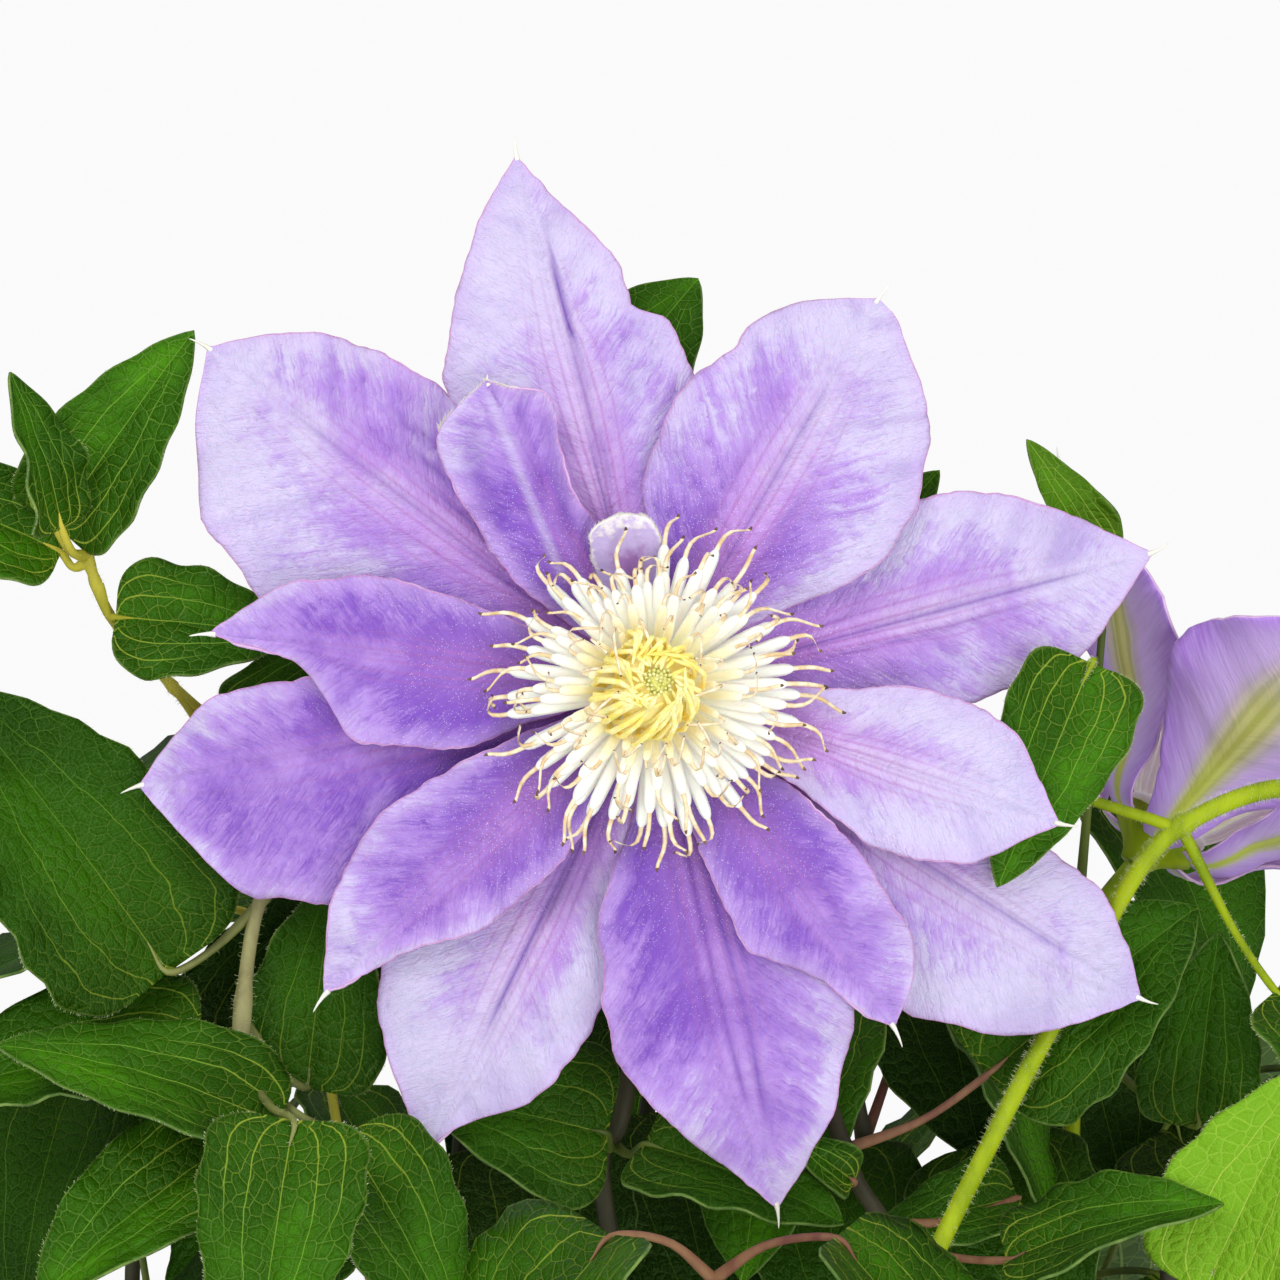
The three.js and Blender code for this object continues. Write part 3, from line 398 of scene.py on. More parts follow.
def tepalBackMaterial():
    newMaterial("tepalBack", 0.6, **thinFlesh, Sheen_Weight=0.2)
    x, y, _ = attributeParts("blade")
    s, t, tone = attributeParts("kind")
    share = absolute(s)
    side = absolute(x)
    feather = minus(y, times(side, 0.75))
    lines = combined(feather, times(side, 0.13), times(tone, 37.0))
    fine = noiseOf(lines, 1.6, 3, 0.6, 0.3)
    colour = mixed(ranged(fine, 0.2, 0.8), (0.50, 0.30, 0.82), (0.36, 0.17, 0.68))
    colour = mixed(ranged(share, 0.35, 1.0, 0.6, 0.0), colour, (0.66, 0.52, 0.86))
    bar = times(ranged(share, 0.42, 0.06), ranged(t, 1.0, 0.55))
    ribbed = maths("PINGPONG", times(share, 7.0), 0.5)
    barColour = mixed(ranged(ribbed, 0.1, 0.4), (0.42, 0.44, 0.09), (0.55, 0.55, 0.19))
    barColour = mixed(ranged(t, 0.5, 0.1), barColour, (0.50, 0.58, 0.06))
    colour = mixed(bar, colour, barColour)
    return finished(colour, fine, 0.5, 0.35)


# Leaves: dark green with a yellow-green net of veins; painted shade beside the net, on one half of each leaf
# and over leaves of low tone
leafHues = {
    "shade": (0.004, 0.012, 0.001),
    "deep": (0.009, 0.038, 0.001),
    "green": (0.023, 0.093, 0.001),
    "fresh": (0.06, 0.225, 0.002),
    "young": (0.16, 0.35, 0.012),
    "vein": (0.18, 0.35, 0.035),
    "veinFoot": (0.34, 0.38, 0.04),
    "veinYoung": (0.42, 0.56, 0.08),
    "rim": (0.17, 0.27, 0.05),
}


def leafMaterial():
    newMaterial("leafFace", 0.34, Specular_IOR_Level=0.24, Specular_Tint=(0.5, 1, 0.35, 1))
    x, y, half = attributeParts("blade")
    s, t, tone = attributeParts("kind")
    share = absolute(s)
    offset = times(tone, 53.0)
    flat = combined(x, y, offset)
    wander = noiseOf(flat, 0.16, 2)
    bentX = timesPlus(wander, 2.4, plus(x, offset))
    bentY = timesPlus(noiseOf(flat, 0.2, 2), 2.4, y)
    bent = combined(bentX, bentY, 0.0)
    width = timesPlus(t, -0.07, 0.15)
    main = 0.0
    wobble = timesPlus(minus(wander, 0.5), 0.16, share)
    for vein, closing, endsAt in ((0.0, 0.0, 1.2), (0.48, 0.2, 0.95), (0.84, 0.46, 0.6)):
        given = share if vein == 0.0 else wobble
        off = minus(given, timesPlus(t, -closing, vein))
        away = times(absolute(off), half)
        line = ranged(maths("DIVIDE", away, width), 1.0, 0.35)
        line = times(line, ranged(t, endsAt, endsAt - 0.3))
        main = larger(main, line)
    net = cellsOf(bent, 0.56, randomness=0.9, dimensions="2D")
    small = cellsOf(bent, 1.9, randomness=0.9, dimensions="2D")
    netLine = ranged(net, 0.05, 0.012)
    smallLine = ranged(small, 0.07, 0.015)
    patch = ranged(noiseOf(flat, 0.06, 3), 0.32, 0.66)
    colour = mixed(patch, leafHues["deep"], leafHues["green"])
    fresh = mixed(patch, leafHues["green"], leafHues["fresh"])
    colour = mixed(ranged(tone, 0.15, 0.55), colour, fresh)
    # Darker beside the net lines, as if the quilted cells were shaded at their edges: painted shade
    colour = mixed(ranged(net, 0.0, 0.3, 0.35, 0.0), colour, leafHues["deep"])
    colour = mixed(ranged(share, 0.3, 1.0, 0.0, 0.55), colour, leafHues["deep"])
    # One half of every leaf darker, as if the leaf were folded away from the light: painted shade
    colour = mixed(ranged(s, -0.12, 0.12, 0.0, 0.35), colour, leafHues["deep"])
    yellow = mixed(ranged(t, 0.6, 0.0, 0.0, 0.8), leafHues["vein"], leafHues["veinFoot"])
    yellow = mixed(ranged(tone, 0.72, 0.95), yellow, leafHues["veinYoung"])
    # Leaves of low tone go almost black and their veins dim: painted shade for leaves deep in the bush
    colour = mixed(ranged(tone, 0.2, 0.06), colour, leafHues["shade"])
    colour = mixed(ranged(tone, 0.72, 0.95), colour, leafHues["young"])
    netLine = times(netLine, ranged(wander, 0.3, 0.65, 0.45, 1.0))
    colour = mixed(times(smallLine, 0.1), colour, yellow)
    colour = mixed(times(netLine, ranged(tone, 0.05, 0.45, 0.1, 0.36)), colour, yellow)
    colour = mixed(times(main, ranged(tone, 0.05, 0.45, 0.22, 0.7)), colour, yellow)
    inFromEdge = times(minus(1.0, share), half)
    colour = mixed(ranged(inFromEdge, 0.3, 0.08, 0, 0.35), colour, leafHues["rim"])
    quilt = ranged(net, 0.0, 0.35)
    quilt = timesPlus(ranged(small, 0.0, 0.35), 0.3, quilt)
    quilt = timesPlus(main, -0.8, quilt)
    return finished(colour, quilt, 0.45, 0.5)


def leafUnderMaterial():
    newMaterial("leafUnder", 0.6)
    x, y, half = attributeParts("blade")
    s, _, tone = attributeParts("kind")
    share = absolute(s)
    flat = combined(x, y, times(tone, 53.0))
    net = ranged(cellsOf(flat, 0.34), 0.09, 0.03)
    main = 0.0
    for vein in (0.0, 0.37, 0.71):
        away = times(absolute(minus(share, vein)), half)
        main = larger(main, ranged(away, 0.35, 0.1))
    colour = mixed(noiseOf(flat, 0.1, 2), (0.04, 0.11, 0.010), (0.08, 0.18, 0.020))
    lines = larger(times(net, 0.4), main)
    colour = mixed(lines, colour, (0.20, 0.32, 0.07))
    return finished(colour, lines, 0.5, 0.35)


def petaloidMaterial():
    newMaterial("petaloidFace", 0.8)
    s, t, _ = attributeParts("kind")
    patch = noiseOf(objectPlaces(), 900, 3, 0.6)
    edge = larger(absolute(s), ranged(t, 0.6, 0.95))
    edge = timesPlus(minus(patch, 0.5), 0.7, edge)
    # Dark violet inside the hood, pale to white towards its downy edges and tip: partly its own colour,
    # partly painted shade inside the hood
    colour = mixed(ranged(edge, 0.1, 0.7), (0.36, 0.18, 0.48), (0.52, 0.42, 0.72))
    colour = mixed(ranged(edge, 0.85, 1.1), colour, (0.82, 0.78, 0.80))
    return finished(colour, patch, 0.6, 0.3)


def mottledMaterial(name, dark, light, scale, roughness, lengthwise=1, **settings):
    newMaterial(name, roughness, **settings)
    places = node("Mapping", {"Vector": objectPlaces(), "Scale": (1, 1, lengthwise)})[0]
    colour = mixed(ranged(noiseOf(places, scale, 4, 0.6), 0.3, 0.7), dark, light)
    return finished(colour, noiseOf(places, scale * 3, 3), 0.4, 0.2)


# Mottled finishes: dark, light, the pattern's scale, roughness, and its share lengthwise
mottledFinishes = {
    "tepalRim": ((0.6, 0.36, 0.66), (0.76, 0.55, 0.8), 300, 0.6),
    "leafRim": ((0.05, 0.12, 0.01), (0.17, 0.27, 0.05), 300, 0.7),
    "stemWood": ((0.15, 0.13, 0.045), (0.38, 0.37, 0.15), 120, 0.6, 0.25),
    "stalkGreen": ((0.14, 0.22, 0.003), (0.36, 0.46, 0.006), 120, 0.5, 0.25),
    "stalkGold": ((0.26, 0.25, 0.015), (0.56, 0.50, 0.06), 120, 0.5, 0.25),
    # A darker copy of the stem finish for stems deep in the bush: painted shade
    "stemShade": ((0.02, 0.018, 0.006), (0.06, 0.055, 0.02), 120, 0.6, 0.25),
    "stalkOlive": ((0.09, 0.11, 0.02), (0.25, 0.27, 0.07), 120, 0.6, 0.25),
    # A darker copy of the stalk finishes for stalks deep in the bush: painted shade
    "stalkShade": ((0.045, 0.075, 0.004), (0.12, 0.17, 0.012), 120, 0.6, 0.25),
    "twigRed": ((0.13, 0.03, 0.02), (0.27, 0.14, 0.06), 150, 0.6, 0.3),
    "down": ((0.72, 0.7, 0.6), (0.85, 0.84, 0.78), 200, 0.8),
    "greenDown": ((0.55, 0.62, 0.25), (0.86, 0.90, 0.62), 200, 0.8),
    "filament": ((0.85, 0.82, 0.75), (0.90, 0.885, 0.83), 260, 0.5),
    "creamFilament": ((0.86, 0.80, 0.55), (0.90, 0.86, 0.68), 260, 0.5),
    "anther": ((0.70, 0.50, 0.25), (0.95, 0.86, 0.64), 700, 0.55),
    "antherTip": ((0.06, 0.03, 0.015), (0.22, 0.12, 0.06), 800, 0.6),
    "heartYellow": ((0.93, 0.72, 0.12), (0.99, 0.90, 0.50), 420, 0.5),
    "styleGreen": ((0.66, 0.64, 0.13), (0.90, 0.88, 0.44), 900, 0.6),
    "paleFloor": ((0.78, 0.78, 0.77), (0.82, 0.82, 0.81), 3, 0.7),
}
thickFlesh = {"Subsurface_Weight": 0.35, "Subsurface_Scale": 0.003}
# The filaments and the heart glow faintly: painted light that brightens their shaded sides, in place of
# translucency
finishSettings = {
    "stalkGreen": {"Specular_IOR_Level": 0.15},
    "stalkGold": {"Specular_IOR_Level": 0.15},
    "filament": {**thickFlesh, "Emission_Color": (1, 0.96, 0.9, 1), "Emission_Strength": 0.1},
    "creamFilament": {**thickFlesh, "Emission_Color": (1, 0.95, 0.7, 1), "Emission_Strength": 0.1},
    "heartYellow": {**thickFlesh, "Emission_Color": (1, 0.8, 0.15, 1), "Emission_Strength": 0.07},
}
materials = {
    "tepalFace": tepalMaterial(), "tepalBack": tepalBackMaterial(), "petaloidFace": petaloidMaterial(),
    "leafFace": leafMaterial(), "leafUnder": leafUnderMaterial(),
}
for name, finish in mottledFinishes.items():
    materials[name] = mottledMaterial(name, *finish, **finishSettings.get(name, {}))
print("stage 2: materials")


# A stalk's cross-section, lightly ribbed
def ribbedCircle(name, sides, depth):
    clearSelection()
    bpy.ops.mesh.primitive_circle_add(vertices=sides, radius=1)
    ring = bpy.context.object
    ring.name = name
    co = placesOf(ring)
    co[::2] *= 1 - depth
    setPlaces(ring, co * mm)
    bpy.ops.object.convert(target="CURVE")
    return bpy.context.object


sections = {
    "stem": ribbedCircle("stemSection", 16, 0.1),
    "petiole": ribbedCircle("petioleSection", 8, 0.0),
    "hair": ribbedCircle("hairSection", 3, 0.0),
}


# Strands of one section are drawn as curves and made one mesh
def strandsMesh(name, strands, section, look):
    curve = bpy.data.curves.new(name, "CURVE")
    curve.dimensions = "3D"
    curve.bevel_mode = "OBJECT"
    curve.bevel_object = sections[section]
    curve.use_fill_caps = True
    curve.materials.append(materials[look])
    for points, radii in strands:
        spline = curve.splines.new("POLY")
        spline.points.add(len(points) - 1)
        spline.points.foreach_set("co", [c for p in points for c in (*(p * mm), 1)])
        spline.points.foreach_set("radius", radii)
    pick(newObject(name, curve))
    bpy.ops.object.convert(target="MESH")
    return bpy.context.object


# Fine hairs: each one a thin, tapering, slightly bent strand
def hairStrand(root, way, length, thickness):
    aside = Vector([random.uniform(-1, 1) for _ in range(3)]) * 0.22 * length
    way = (way + aside * 0.8 / length).normalized()
    points = [root - way * 0.12, root + way * length * 0.55, root + way * length + aside]
    return points, [thickness, thickness * 0.75, thickness * 0.25]


def hairsAlong(points, radii, count, length, thickness):
    hairs = []
    for _ in range(count):
        reach = random.uniform(0, len(points) - 1.001)
        i = int(reach)
        w = reach - i
        along = (points[i + 1] - points[i]).normalized()
        side = along.orthogonal().normalized()
        side.rotate(Matrix.Rotation(random.uniform(0, math.tau), 3, along))
        root = points[i].lerp(points[i + 1], w) + side * between(radii[i], radii[i + 1], w) * 0.97
        hairs.append(hairStrand(root, side, length * random.uniform(0.5, 1.1), thickness))
    return hairs


# Hairs that stand out from an edge, given by points on it and points just inside it
def hairsFromEdge(edge, inside, length, thickness):
    return [
        hairStrand(Vector(a), Vector(a - b).normalized(), length * random.uniform(0.5, 1.1), thickness)
        for a, b in zip(edge, inside)
    ]


tepalRows = [0, 0.2, 0.4, 0.6, 0.8, 0.92, 1]
clawHalfWidth = 1.1
clawRadius = 7
riseEnd = 25
receptacle = {"radius": 6.6, "depth": 6, "top": 1}
clearance = 0.3

backLayer = {"seat": -2.2, "lift": -1.2}
lowLayer = {"seat": -2.2, "lift": 0}
highLayer = {"seat": -1.3, "lift": 1.8}
innerLayer = {"seat": -0.4, "lift": 3.6}


def tepal(layer, turn, length, tip, ccw, cw, tone, **more):
    return {**layer, "turn": turn, "length": length, "tip": tip, "ccw": ccw, "cw": cw, "tone": tone, **more}


# Some tepals' edges in more detail: a share of the length and the half-width there. A tepal's seams run
# straight (place across, start, end, width, depth), and its slants from one place across to another. Both
# fold the tepal, and paint shade into its creases and a highlight onto its ridges
upperTepalEdges = {
    "ccw": [(0, 1.1), (0.2, 5), (0.4, 12), (0.57, 16.2), (0.62, 16.3), (0.67, 15.1), (0.757, 12.4),
            (0.851, 8.7), (0.933, 4.5), (1, 0)],
    "cw": [(0, 1.1), (0.2, 7), (0.4, 14), (0.49, 15.2), (0.54, 15.2), (0.6, 14.6), (0.63, 13.4), (0.65, 11.2),
           (0.665, 10.0), (0.69, 9.9), (0.725, 9.9), (0.79, 8.2), (0.858, 5.6), (0.916, 3), (1, 0)],
}
upperRightTepalEdges = {
    "ccw": [(0, 1.1), (0.2, 7.5), (0.4, 16), (0.55, 16), (0.632, 15.4), (0.7, 14.1), (0.737, 13.2),
            (0.78, 13.4), (0.82, 12.2), (0.898, 8.5), (0.955, 4.3), (1, 0)],
    "cw": [(0, 1.1), (0.2, 7.5), (0.4, 15.5), (0.51, 18.2), (0.609, 18), (0.704, 16.4), (0.81, 13.7),
           (0.882, 10.2), (0.936, 6.4), (0.985, 3), (1, 0)],
}
hoodedTepalEdges = {
    "ccw": [(0, 1.1), (0.2, 5), (0.4, 8.6), (0.6, 10), (0.75, 10.3), (0.85, 10.2), (0.91, 9.4), (0.95, 7.2),
            (0.975, 4.2), (0.985, 2.2), (1, 0)],
    "cw": [(0, 1.1), (0.2, 4), (0.4, 4), (0.54, 3.2), (0.62, 3.6), (0.7, 4.4), (0.78, 5.6), (0.84, 6.4),
           (0.88, 6.0), (0.92, 4.2), (0.95, 2.2), (0.97, 1.4), (1, 0)],
}

frontTepals = [
    tepal(lowLayer, 104.4, 72.8, -5, [5, 12, 15.8, 11, 4.8], [7, 14, 14.5, 8.8, 3.8], 0.12,
          fine=upperTepalEdges, deeperSide=-0.12,
          seams=[(-1.3, 0.3, 0.86, 0.4, 0.85), (-0.2, 0.2, 0.5, 0.35, 0.5), (-7.5, 0.42, 0.66, 0.4, 0.25)]),
    tepal(backLayer, 142.6, 74.3, -5, [6, 17.5, 22, 18.2, 10], [5, 11.5, 14.5, 12, 6.5], 0.34,
          deeperSide=-0.26,
          seams=[(0.4, 0.2, 0.85, 0.35, 0.85), (-3, 0.2, 0.55, 0.5, 0.5), (-5.5, 0.3, 0.66, 0.5, 0.4),
                 (-8, 0.4, 0.7, 0.6, 0.4)]),
    tepal(lowLayer, -169.2, 69.2, -5, [6, 15, 20, 17.5, 9], [5, 8, 10, 10, 5], 0.8,
          seams=[(0.3, 0.15, 0.7, 0.35, 0.6), (3.5, 0.2, 0.6, 0.5, 0.35), (-3.2, 0.2, 0.5, 0.4, 0.3)]),
    # The slant at this tepal's claw folds it and darkens it there: painted shadow from the tepals over it
    tepal(backLayer, -115.7, 69.6, -3, [6.5, 11, 12.5, 9, 1.5], [6, 14, 17.5, 12.5, 5], 0.06,
          slants=[(0, 0, 0.02, 0.5, 2.6, 0.5)], seams=[(0, 0.1, 0.75, 0.35, 0.6), (3, 0.15, 0.5, 0.4, 0.3)]),
    tepal(highLayer, -76.5, 70.6, -4, [7, 13, 16, 11.5, 5.5], [7, 14.5, 16, 10.5, 4], 0.68, deeperSide=-0.2,
          seams=[(1.6, 0.1, 0.9, 0.45, 0.6), (-0.8, 0.2, 0.85, 0.35, 0.5), (3.6, 0.15, 0.6, 0.4, 0.4),
                 (-3, 0.2, 0.7, 0.6, 0.3)]),
    tepal(lowLayer, -32.6, 76.9, -6, [5, 9, 10.5, 10, 5.5], [7, 14, 18, 14.5, 7.5], 0.18,
          seams=[(0, 0.3, 0.9, 0.3, 0.35), (2.2, 0.25, 0.7, 0.3, 0.25), (-2.4, 0.3, 0.8, 0.3, 0.25)]),
    tepal(backLayer, 15, 68.7, -4, [6.5, 13.8, 15, 10.5, 4.5], [5, 9, 12.5, 10.5, 4.5], 0.28,
          deeperSide=-0.14,
          seams=[(0, 0.15, 0.9, 0.3, 0.45), (-2.4, 0.2, 0.8, 0.3, 0.35), (2.2, 0.2, 0.75, 0.3, 0.3)]),
    tepal(highLayer, 59.9, 59.3, -3, [7.5, 16, 15.5, 12.5, 8], [7.5, 15.5, 18.5, 14.5, 8.5], 0.3,
          fine=upperRightTepalEdges, deeperSide=0.16,
          seams=[(0, 0.2, 0.8, 0.35, 0.3), (-4, 0.2, 0.6, 0.5, 0.25), (5, 0.25, 0.6, 0.5, 0.3)]),
    tepal(innerLayer, 118.4, 45.6, 3, [5, 8, 9.5, 11.5, 8.5], [4, 5, 5, 6.5, 6], 0.84, fine=hoodedTepalEdges,
          slants=[(0.4, -5.6, 0.42, 0.88, 1.3, 0.62), (8.4, 5.0, 0.52, 0.94, 1.9, 0.42),
                  (3.7, 0.2, 0.3, 1.04, 0.6, -0.5), (1.4, -2.6, 0.5, 0.95, 0.8, 0.25),
                  (1.6, -1.5, 0.86, 1.06, 1.0, 0.4)],
          spur=1.3, down={"count": 190, "from": 0.93, "length": 1.15}),
    tepal(innerLayer, 172.9, 58.3, 0, [6, 11, 12, 2, 1.2], [5, 8, 10, 8.5, 4], 0.85),
    tepal(innerLayer, -137, 58.8, -1, [6, 8.5, 8, 3, 1.5], [6, 10, 12, 9.5, 4.5], 0.66),
    tepal({**innerLayer, "lift": 4.4}, -54.4, 54.5, 0, [4, 8, 9.5, 9, 6], [5, 8, 9.5, 4, 2.5], 0.85),
    tepal(innerLayer, -18.4, 55.8, 5, [5, 8, 11.5, 10, 4.5], [4, 7, 10.5, 9, 4], 0.14),
]

evenWidths = [5.5, 12, 15, 11.5, 5.5]
slimWidths = [5.5, 12, 14, 6, 1.5]
lowTepal = {**lowLayer, "tip": -4, "ccw": evenWidths, "cw": evenWidths, "tone": 0.45}
highTepal = {**lowTepal, "seat": -1.1, "lift": 1.8}
secondTepals = [
    {**highTepal, "turn": -64, "length": 57, "ccw": slimWidths, "cw": slimWidths, "sweep": 2},
    {**lowTepal, "turn": -4, "length": 57},
    {**highTepal, "turn": 56, "length": 55},
    {**lowTepal, "turn": 116, "length": 55},
    {**highTepal, "turn": 176, "length": 57},
    {**lowTepal, "turn": -124, "length": 56},
]

petaloidEdge = [(0, 1.3), (0.2, 1.3), (0.4, 2.3), (0.6, 4.0), (0.76, 4.7), (0.88, 4.3), (0.95, 3.2), (1, 0)]
petaloid = {
    "turn": 100.6, "length": 23.1, "seat": 0.5, "lift": 5, "tip": 5, "tone": 0.0,
    "fine": {"ccw": petaloidEdge, "cw": petaloidEdge},
    "down": {"count": 560, "from": 0.42, "length": 0.75},
}


# A smooth line through stations that never overshoots them
def through(stations, values, t):
    x = np.array(stations, float)
    y = np.array(values, float)
    steps = np.diff(y) / np.diff(x)
    slopes = np.array([steps[0], *np.zeros(len(x) - 2), steps[-1]])
    for i in range(1, len(x) - 1):
        a, b = steps[i - 1], steps[i]
        slopes[i] = 0 if a * b <= 0 else 2 * a * b / (a + b)
    i = np.clip(np.searchsorted(x, t) - 1, 0, len(x) - 2)
    gap = x[i + 1] - x[i]
    w = np.clip((t - x[i]) / gap, 0, 1)
    return (
        (2 * w**3 - 3 * w**2 + 1) * y[i]
        + (w**3 - 2 * w**2 + w) * gap * slopes[i]
        + (3 * w**2 - 2 * w**3) * y[i + 1]
        + (w**3 - w**2) * gap * slopes[i + 1]
    )


# Cups a bloom: what lies outside the receptacle leans up
def raised(r, z, degrees):
    start = receptacle["radius"] - 1.6
    lean = math.radians(degrees) * smooth((r - start) / 10)
    beyond = np.maximum(0, r - start)
    return (
        r - beyond + beyond * np.cos(lean) - z * np.sin(lean),
        beyond * np.sin(lean) + z * np.cos(lean),
    )


def noiseAt(places, scale, seed):
    return np.array([noise.noise(Vector(p) * scale + Vector((seed, seed * 1.7, 0))) for p in places])


tepalForm = {
    "belly": 1.6, "wave": 0.9, "pucker": 0.42, "swell": 0.9, "ruffle": 0.9, "seam": 0.8,
    "edgeWaver": 0.06, "teeth": 0.3, "ribs": ((0.0, 0.32), (0.13, -0.22), (0.25, 0.22)), "ribWidth": 0.55,
}


def aroundAxis(r, aside, turn, z):
    x = r * math.cos(turn) - aside * math.sin(turn)
    y = r * math.sin(turn) + aside * math.cos(turn)
    return np.stack([x, y, z], 1)


def edgeOf(tepal, side, t):
    if "fine" in tepal:
        return through(*zip(*tepal["fine"][side]), t)
    return through(tepalRows, [clawHalfWidth, *tepal[side], 0], t)


def tepalPlaces(tepal, s, t, lean, seed):
    form = tepalForm
    turn = math.radians(tepal["turn"])
    along = 3 + (tepal["length"] - 3) * t
    pastClaw = smooth(t / 0.2)
    share = np.abs(s)
    edgeNoise = noiseAt(np.stack([along, np.sign(s) * 9, t * 0], 1), 0.16, seed)
    teeth = noiseAt(np.stack([along, np.sign(s) * 9, t * 0 + 4], 1), 0.7, seed)
    half = np.where(s > 0, edgeOf(tepal, "ccw", t), edgeOf(tepal, "cw", t))
    half = half * (1 + form["edgeWaver"] * edgeNoise * pastClaw) + form["teeth"] * teeth * pastClaw
    rise = smooth((along - clawRadius) / (riseEnd - clawRadius))
    belly = form["belly"] * np.sin(np.pi * t) * rise
    keel = (1.1 * share - 0.5) * rise * (1 - t)
    wave = form["wave"] * s * s * np.sin(9 * t + 3 * turn) * rise * (1 - t * t)
    flat = np.stack([s * half, along, t * 0], 1)
    slanted = np.stack([(along - 0.75 * np.abs(s * half)), 0.14 * s * half, t * 0], 1)
    puckers = noiseAt(slanted, 0.3, seed + 3)
    swells = noiseAt(flat, 0.09, seed + 5)
    ribs = 0.0
    for rib, depth in form["ribs"]:
        ribs = ribs - depth * bump((share - rib) * half, 0, form["ribWidth"])
    ruffle = form["ruffle"] * share**3 * np.sin(along * 0.42 + 5 * turn + 2 * np.sign(s)) * smooth(t / 0.3)
    calm = smooth(t / 0.18) * (1 - smooth((t - 0.9) / 0.1))
    seam = t * 0
    straight = [(x, x, *rest) for x, *rest in tepal.get("seams", [])]
    for low, high, start, end, width, depth in straight + tepal.get("slants", []):
        reach = smooth((t - start) / 0.12) * smooth((end - t) / 0.12)
        x = between(low, high, np.clip((t - start) / (end - start), 0, 1))
        fold = depth * bump(s * half, x, width) * reach
        seam = np.where(abs(fold) > abs(seam), fold, seam)
    pucker = form["pucker"] * puckers * smooth(share / 0.3)
    extra = (pucker + form["swell"] * swells + ribs + ruffle - form["seam"] * seam) * calm
    height = between(tepal["seat"], tepal["lift"], rise) + belly + keel + wave + tepal["tip"] * t**3
    aside = s * half + tepal.get("sweep", 0) * t * t
    r, z = raised(along, height + extra, lean)
    # Where the puckers and swells sink, for deeper violet there: partly painted shade
    hollow = smooth((-puckers - 0.12) / 0.4) * smooth(share / 0.25) * (0.25 + 0.5 * tepal["tone"])
    hollow = hollow + smooth((-swells - 0.15) / 0.4) * 0.3
    return aroundAxis(r, aside, turn, z), flat, half, np.clip(hollow, 0, 1), seam


def bloomFrame(where, facing, upward):
    z = facing.normalized()
    x = upward.cross(z).normalized()
    y = z.cross(x)
    return Matrix.Translation(where) @ Matrix((x, y, z)).transposed().to_4x4()


def moved(places, matrix):
    m = np.array(matrix)
    return places @ m[:3, :3].T + m[:3, 3]


secondCentre = aroundBloom(71.4, -20.7, -45)
secondFacing = (aroundBloom(0.63, 0.77, -0.18) - centre).normalized()
frontFrame = bloomFrame(centre, bloomOut, bloomUp)
secondFrame = bloomFrame(secondCentre, secondFacing, aroundBloom(0.77, -0.63, 0) - centre)
secondLean = 32
secondStamenLean = 22

spur = turned("spur", 6, [(0, 0.42), (0.12, 0.4), (0.35, 0.27), (0.65, 0.17), (0.9, 0.1), (1, 0.05)])
dress(spur, "down")
tipSpur = {"length": 3.4, "sunk": 0.8, "bend": 0.7}


# A downy point at the end of a tepal
def addSpur(name, places, s, t, length):
    end = places[np.argmax(t)]
    near = places[np.argmin(np.abs(t - 0.93) + np.abs(s))]
    z = Vector(end - near).normalized()
    x = z.orthogonal().normalized()
    y = z.cross(x)
    piece = copyOf(spur, name)
    co = placesOf(piece)
    points = end + co[:, 0:1] * np.array(x) + co[:, 1:2] * np.array(y)
    points = points + (co[:, 2:3] * length - tipSpur["sunk"]) * np.array(z)
    setPlaces(piece, (points + co[:, 2:3] ** 2 * tipSpur["bend"] * np.array(x)) * mm)
    return piece


def edgeDown(name, tepal, lean, seed, place):
    random.seed(seed)
    down = tepal["down"]
    s = [random.choice((-1, 1)) * (1 if i % 2 else random.uniform(0.3, 1)) for i in range(down["count"])]
    t = np.array([random.uniform(down["from"], 0.995) for _ in s])
    s = np.array(s)
    t = np.where(np.abs(s) < 1, 0.82 + 0.17 * t, t)
    edge, inside = (tepalPlaces(tepal, s * k, t * k, lean, seed)[0] for k in (1, 0.94))
    hairs = hairsFromEdge(moved(edge, place), moved(inside, place), down["length"], 0.045)
    return strandsMesh(name, hairs, "hair", "down")


coreRings = [
    (-receptacle["depth"], 2.2), (-4.8, 2.7), (-3.8, 3.5), (-2.7, 5.0), (-1.6, 6.5), (receptacle["top"], 6.6),
]


def bloomTepals(name, tepals, grid, lean, place):
    blank = blankSheet("tepalBlank", *grid)
    pieces = []
    for i, each in enumerate(tepals):
        seed = 11.0 + 7 * i
        piece = copyOf(blank, f"{name}_{i}")
        co = placesOf(piece)
        s, t = -co[:, 0], (co[:, 1] + 1) / 2
        places, flat, half, hollow, seam = tepalPlaces(each, s, t, lean, seed)
        places = moved(places, place)
        setPlaces(piece, places * mm)
        setAttribute(piece, "blade", np.stack([flat[:, 0], flat[:, 1], half], 1))
        setAttribute(piece, "kind", np.stack([s, t, t * 0 + each["tone"]], 1))
        setAttribute(piece, "folds", np.stack([hollow, seam, t * 0 + each.get("deeperSide", 0)], 1))
        face, rim = ("petaloidFace", "down") if each is petaloid else ("tepalFace", "tepalRim")
        pieces.append(thickened(piece, face, "tepalBack", rim))
        if "down" in each:
            pieces.append(edgeDown(f"{name}_down_{i}", each, lean, seed, place))
        if each is not petaloid:
            pieces.append(addSpur(f"{name}_spur_{i}", places, s, t, each.get("spur", tipSpur["length"])))
    pieces.append(turnedAt(place, f"{name}_core", 20, coreRings, "stalkGreen"))
    bpy.data.objects.remove(blank)
    return smoothed(joinAll(name, pieces))


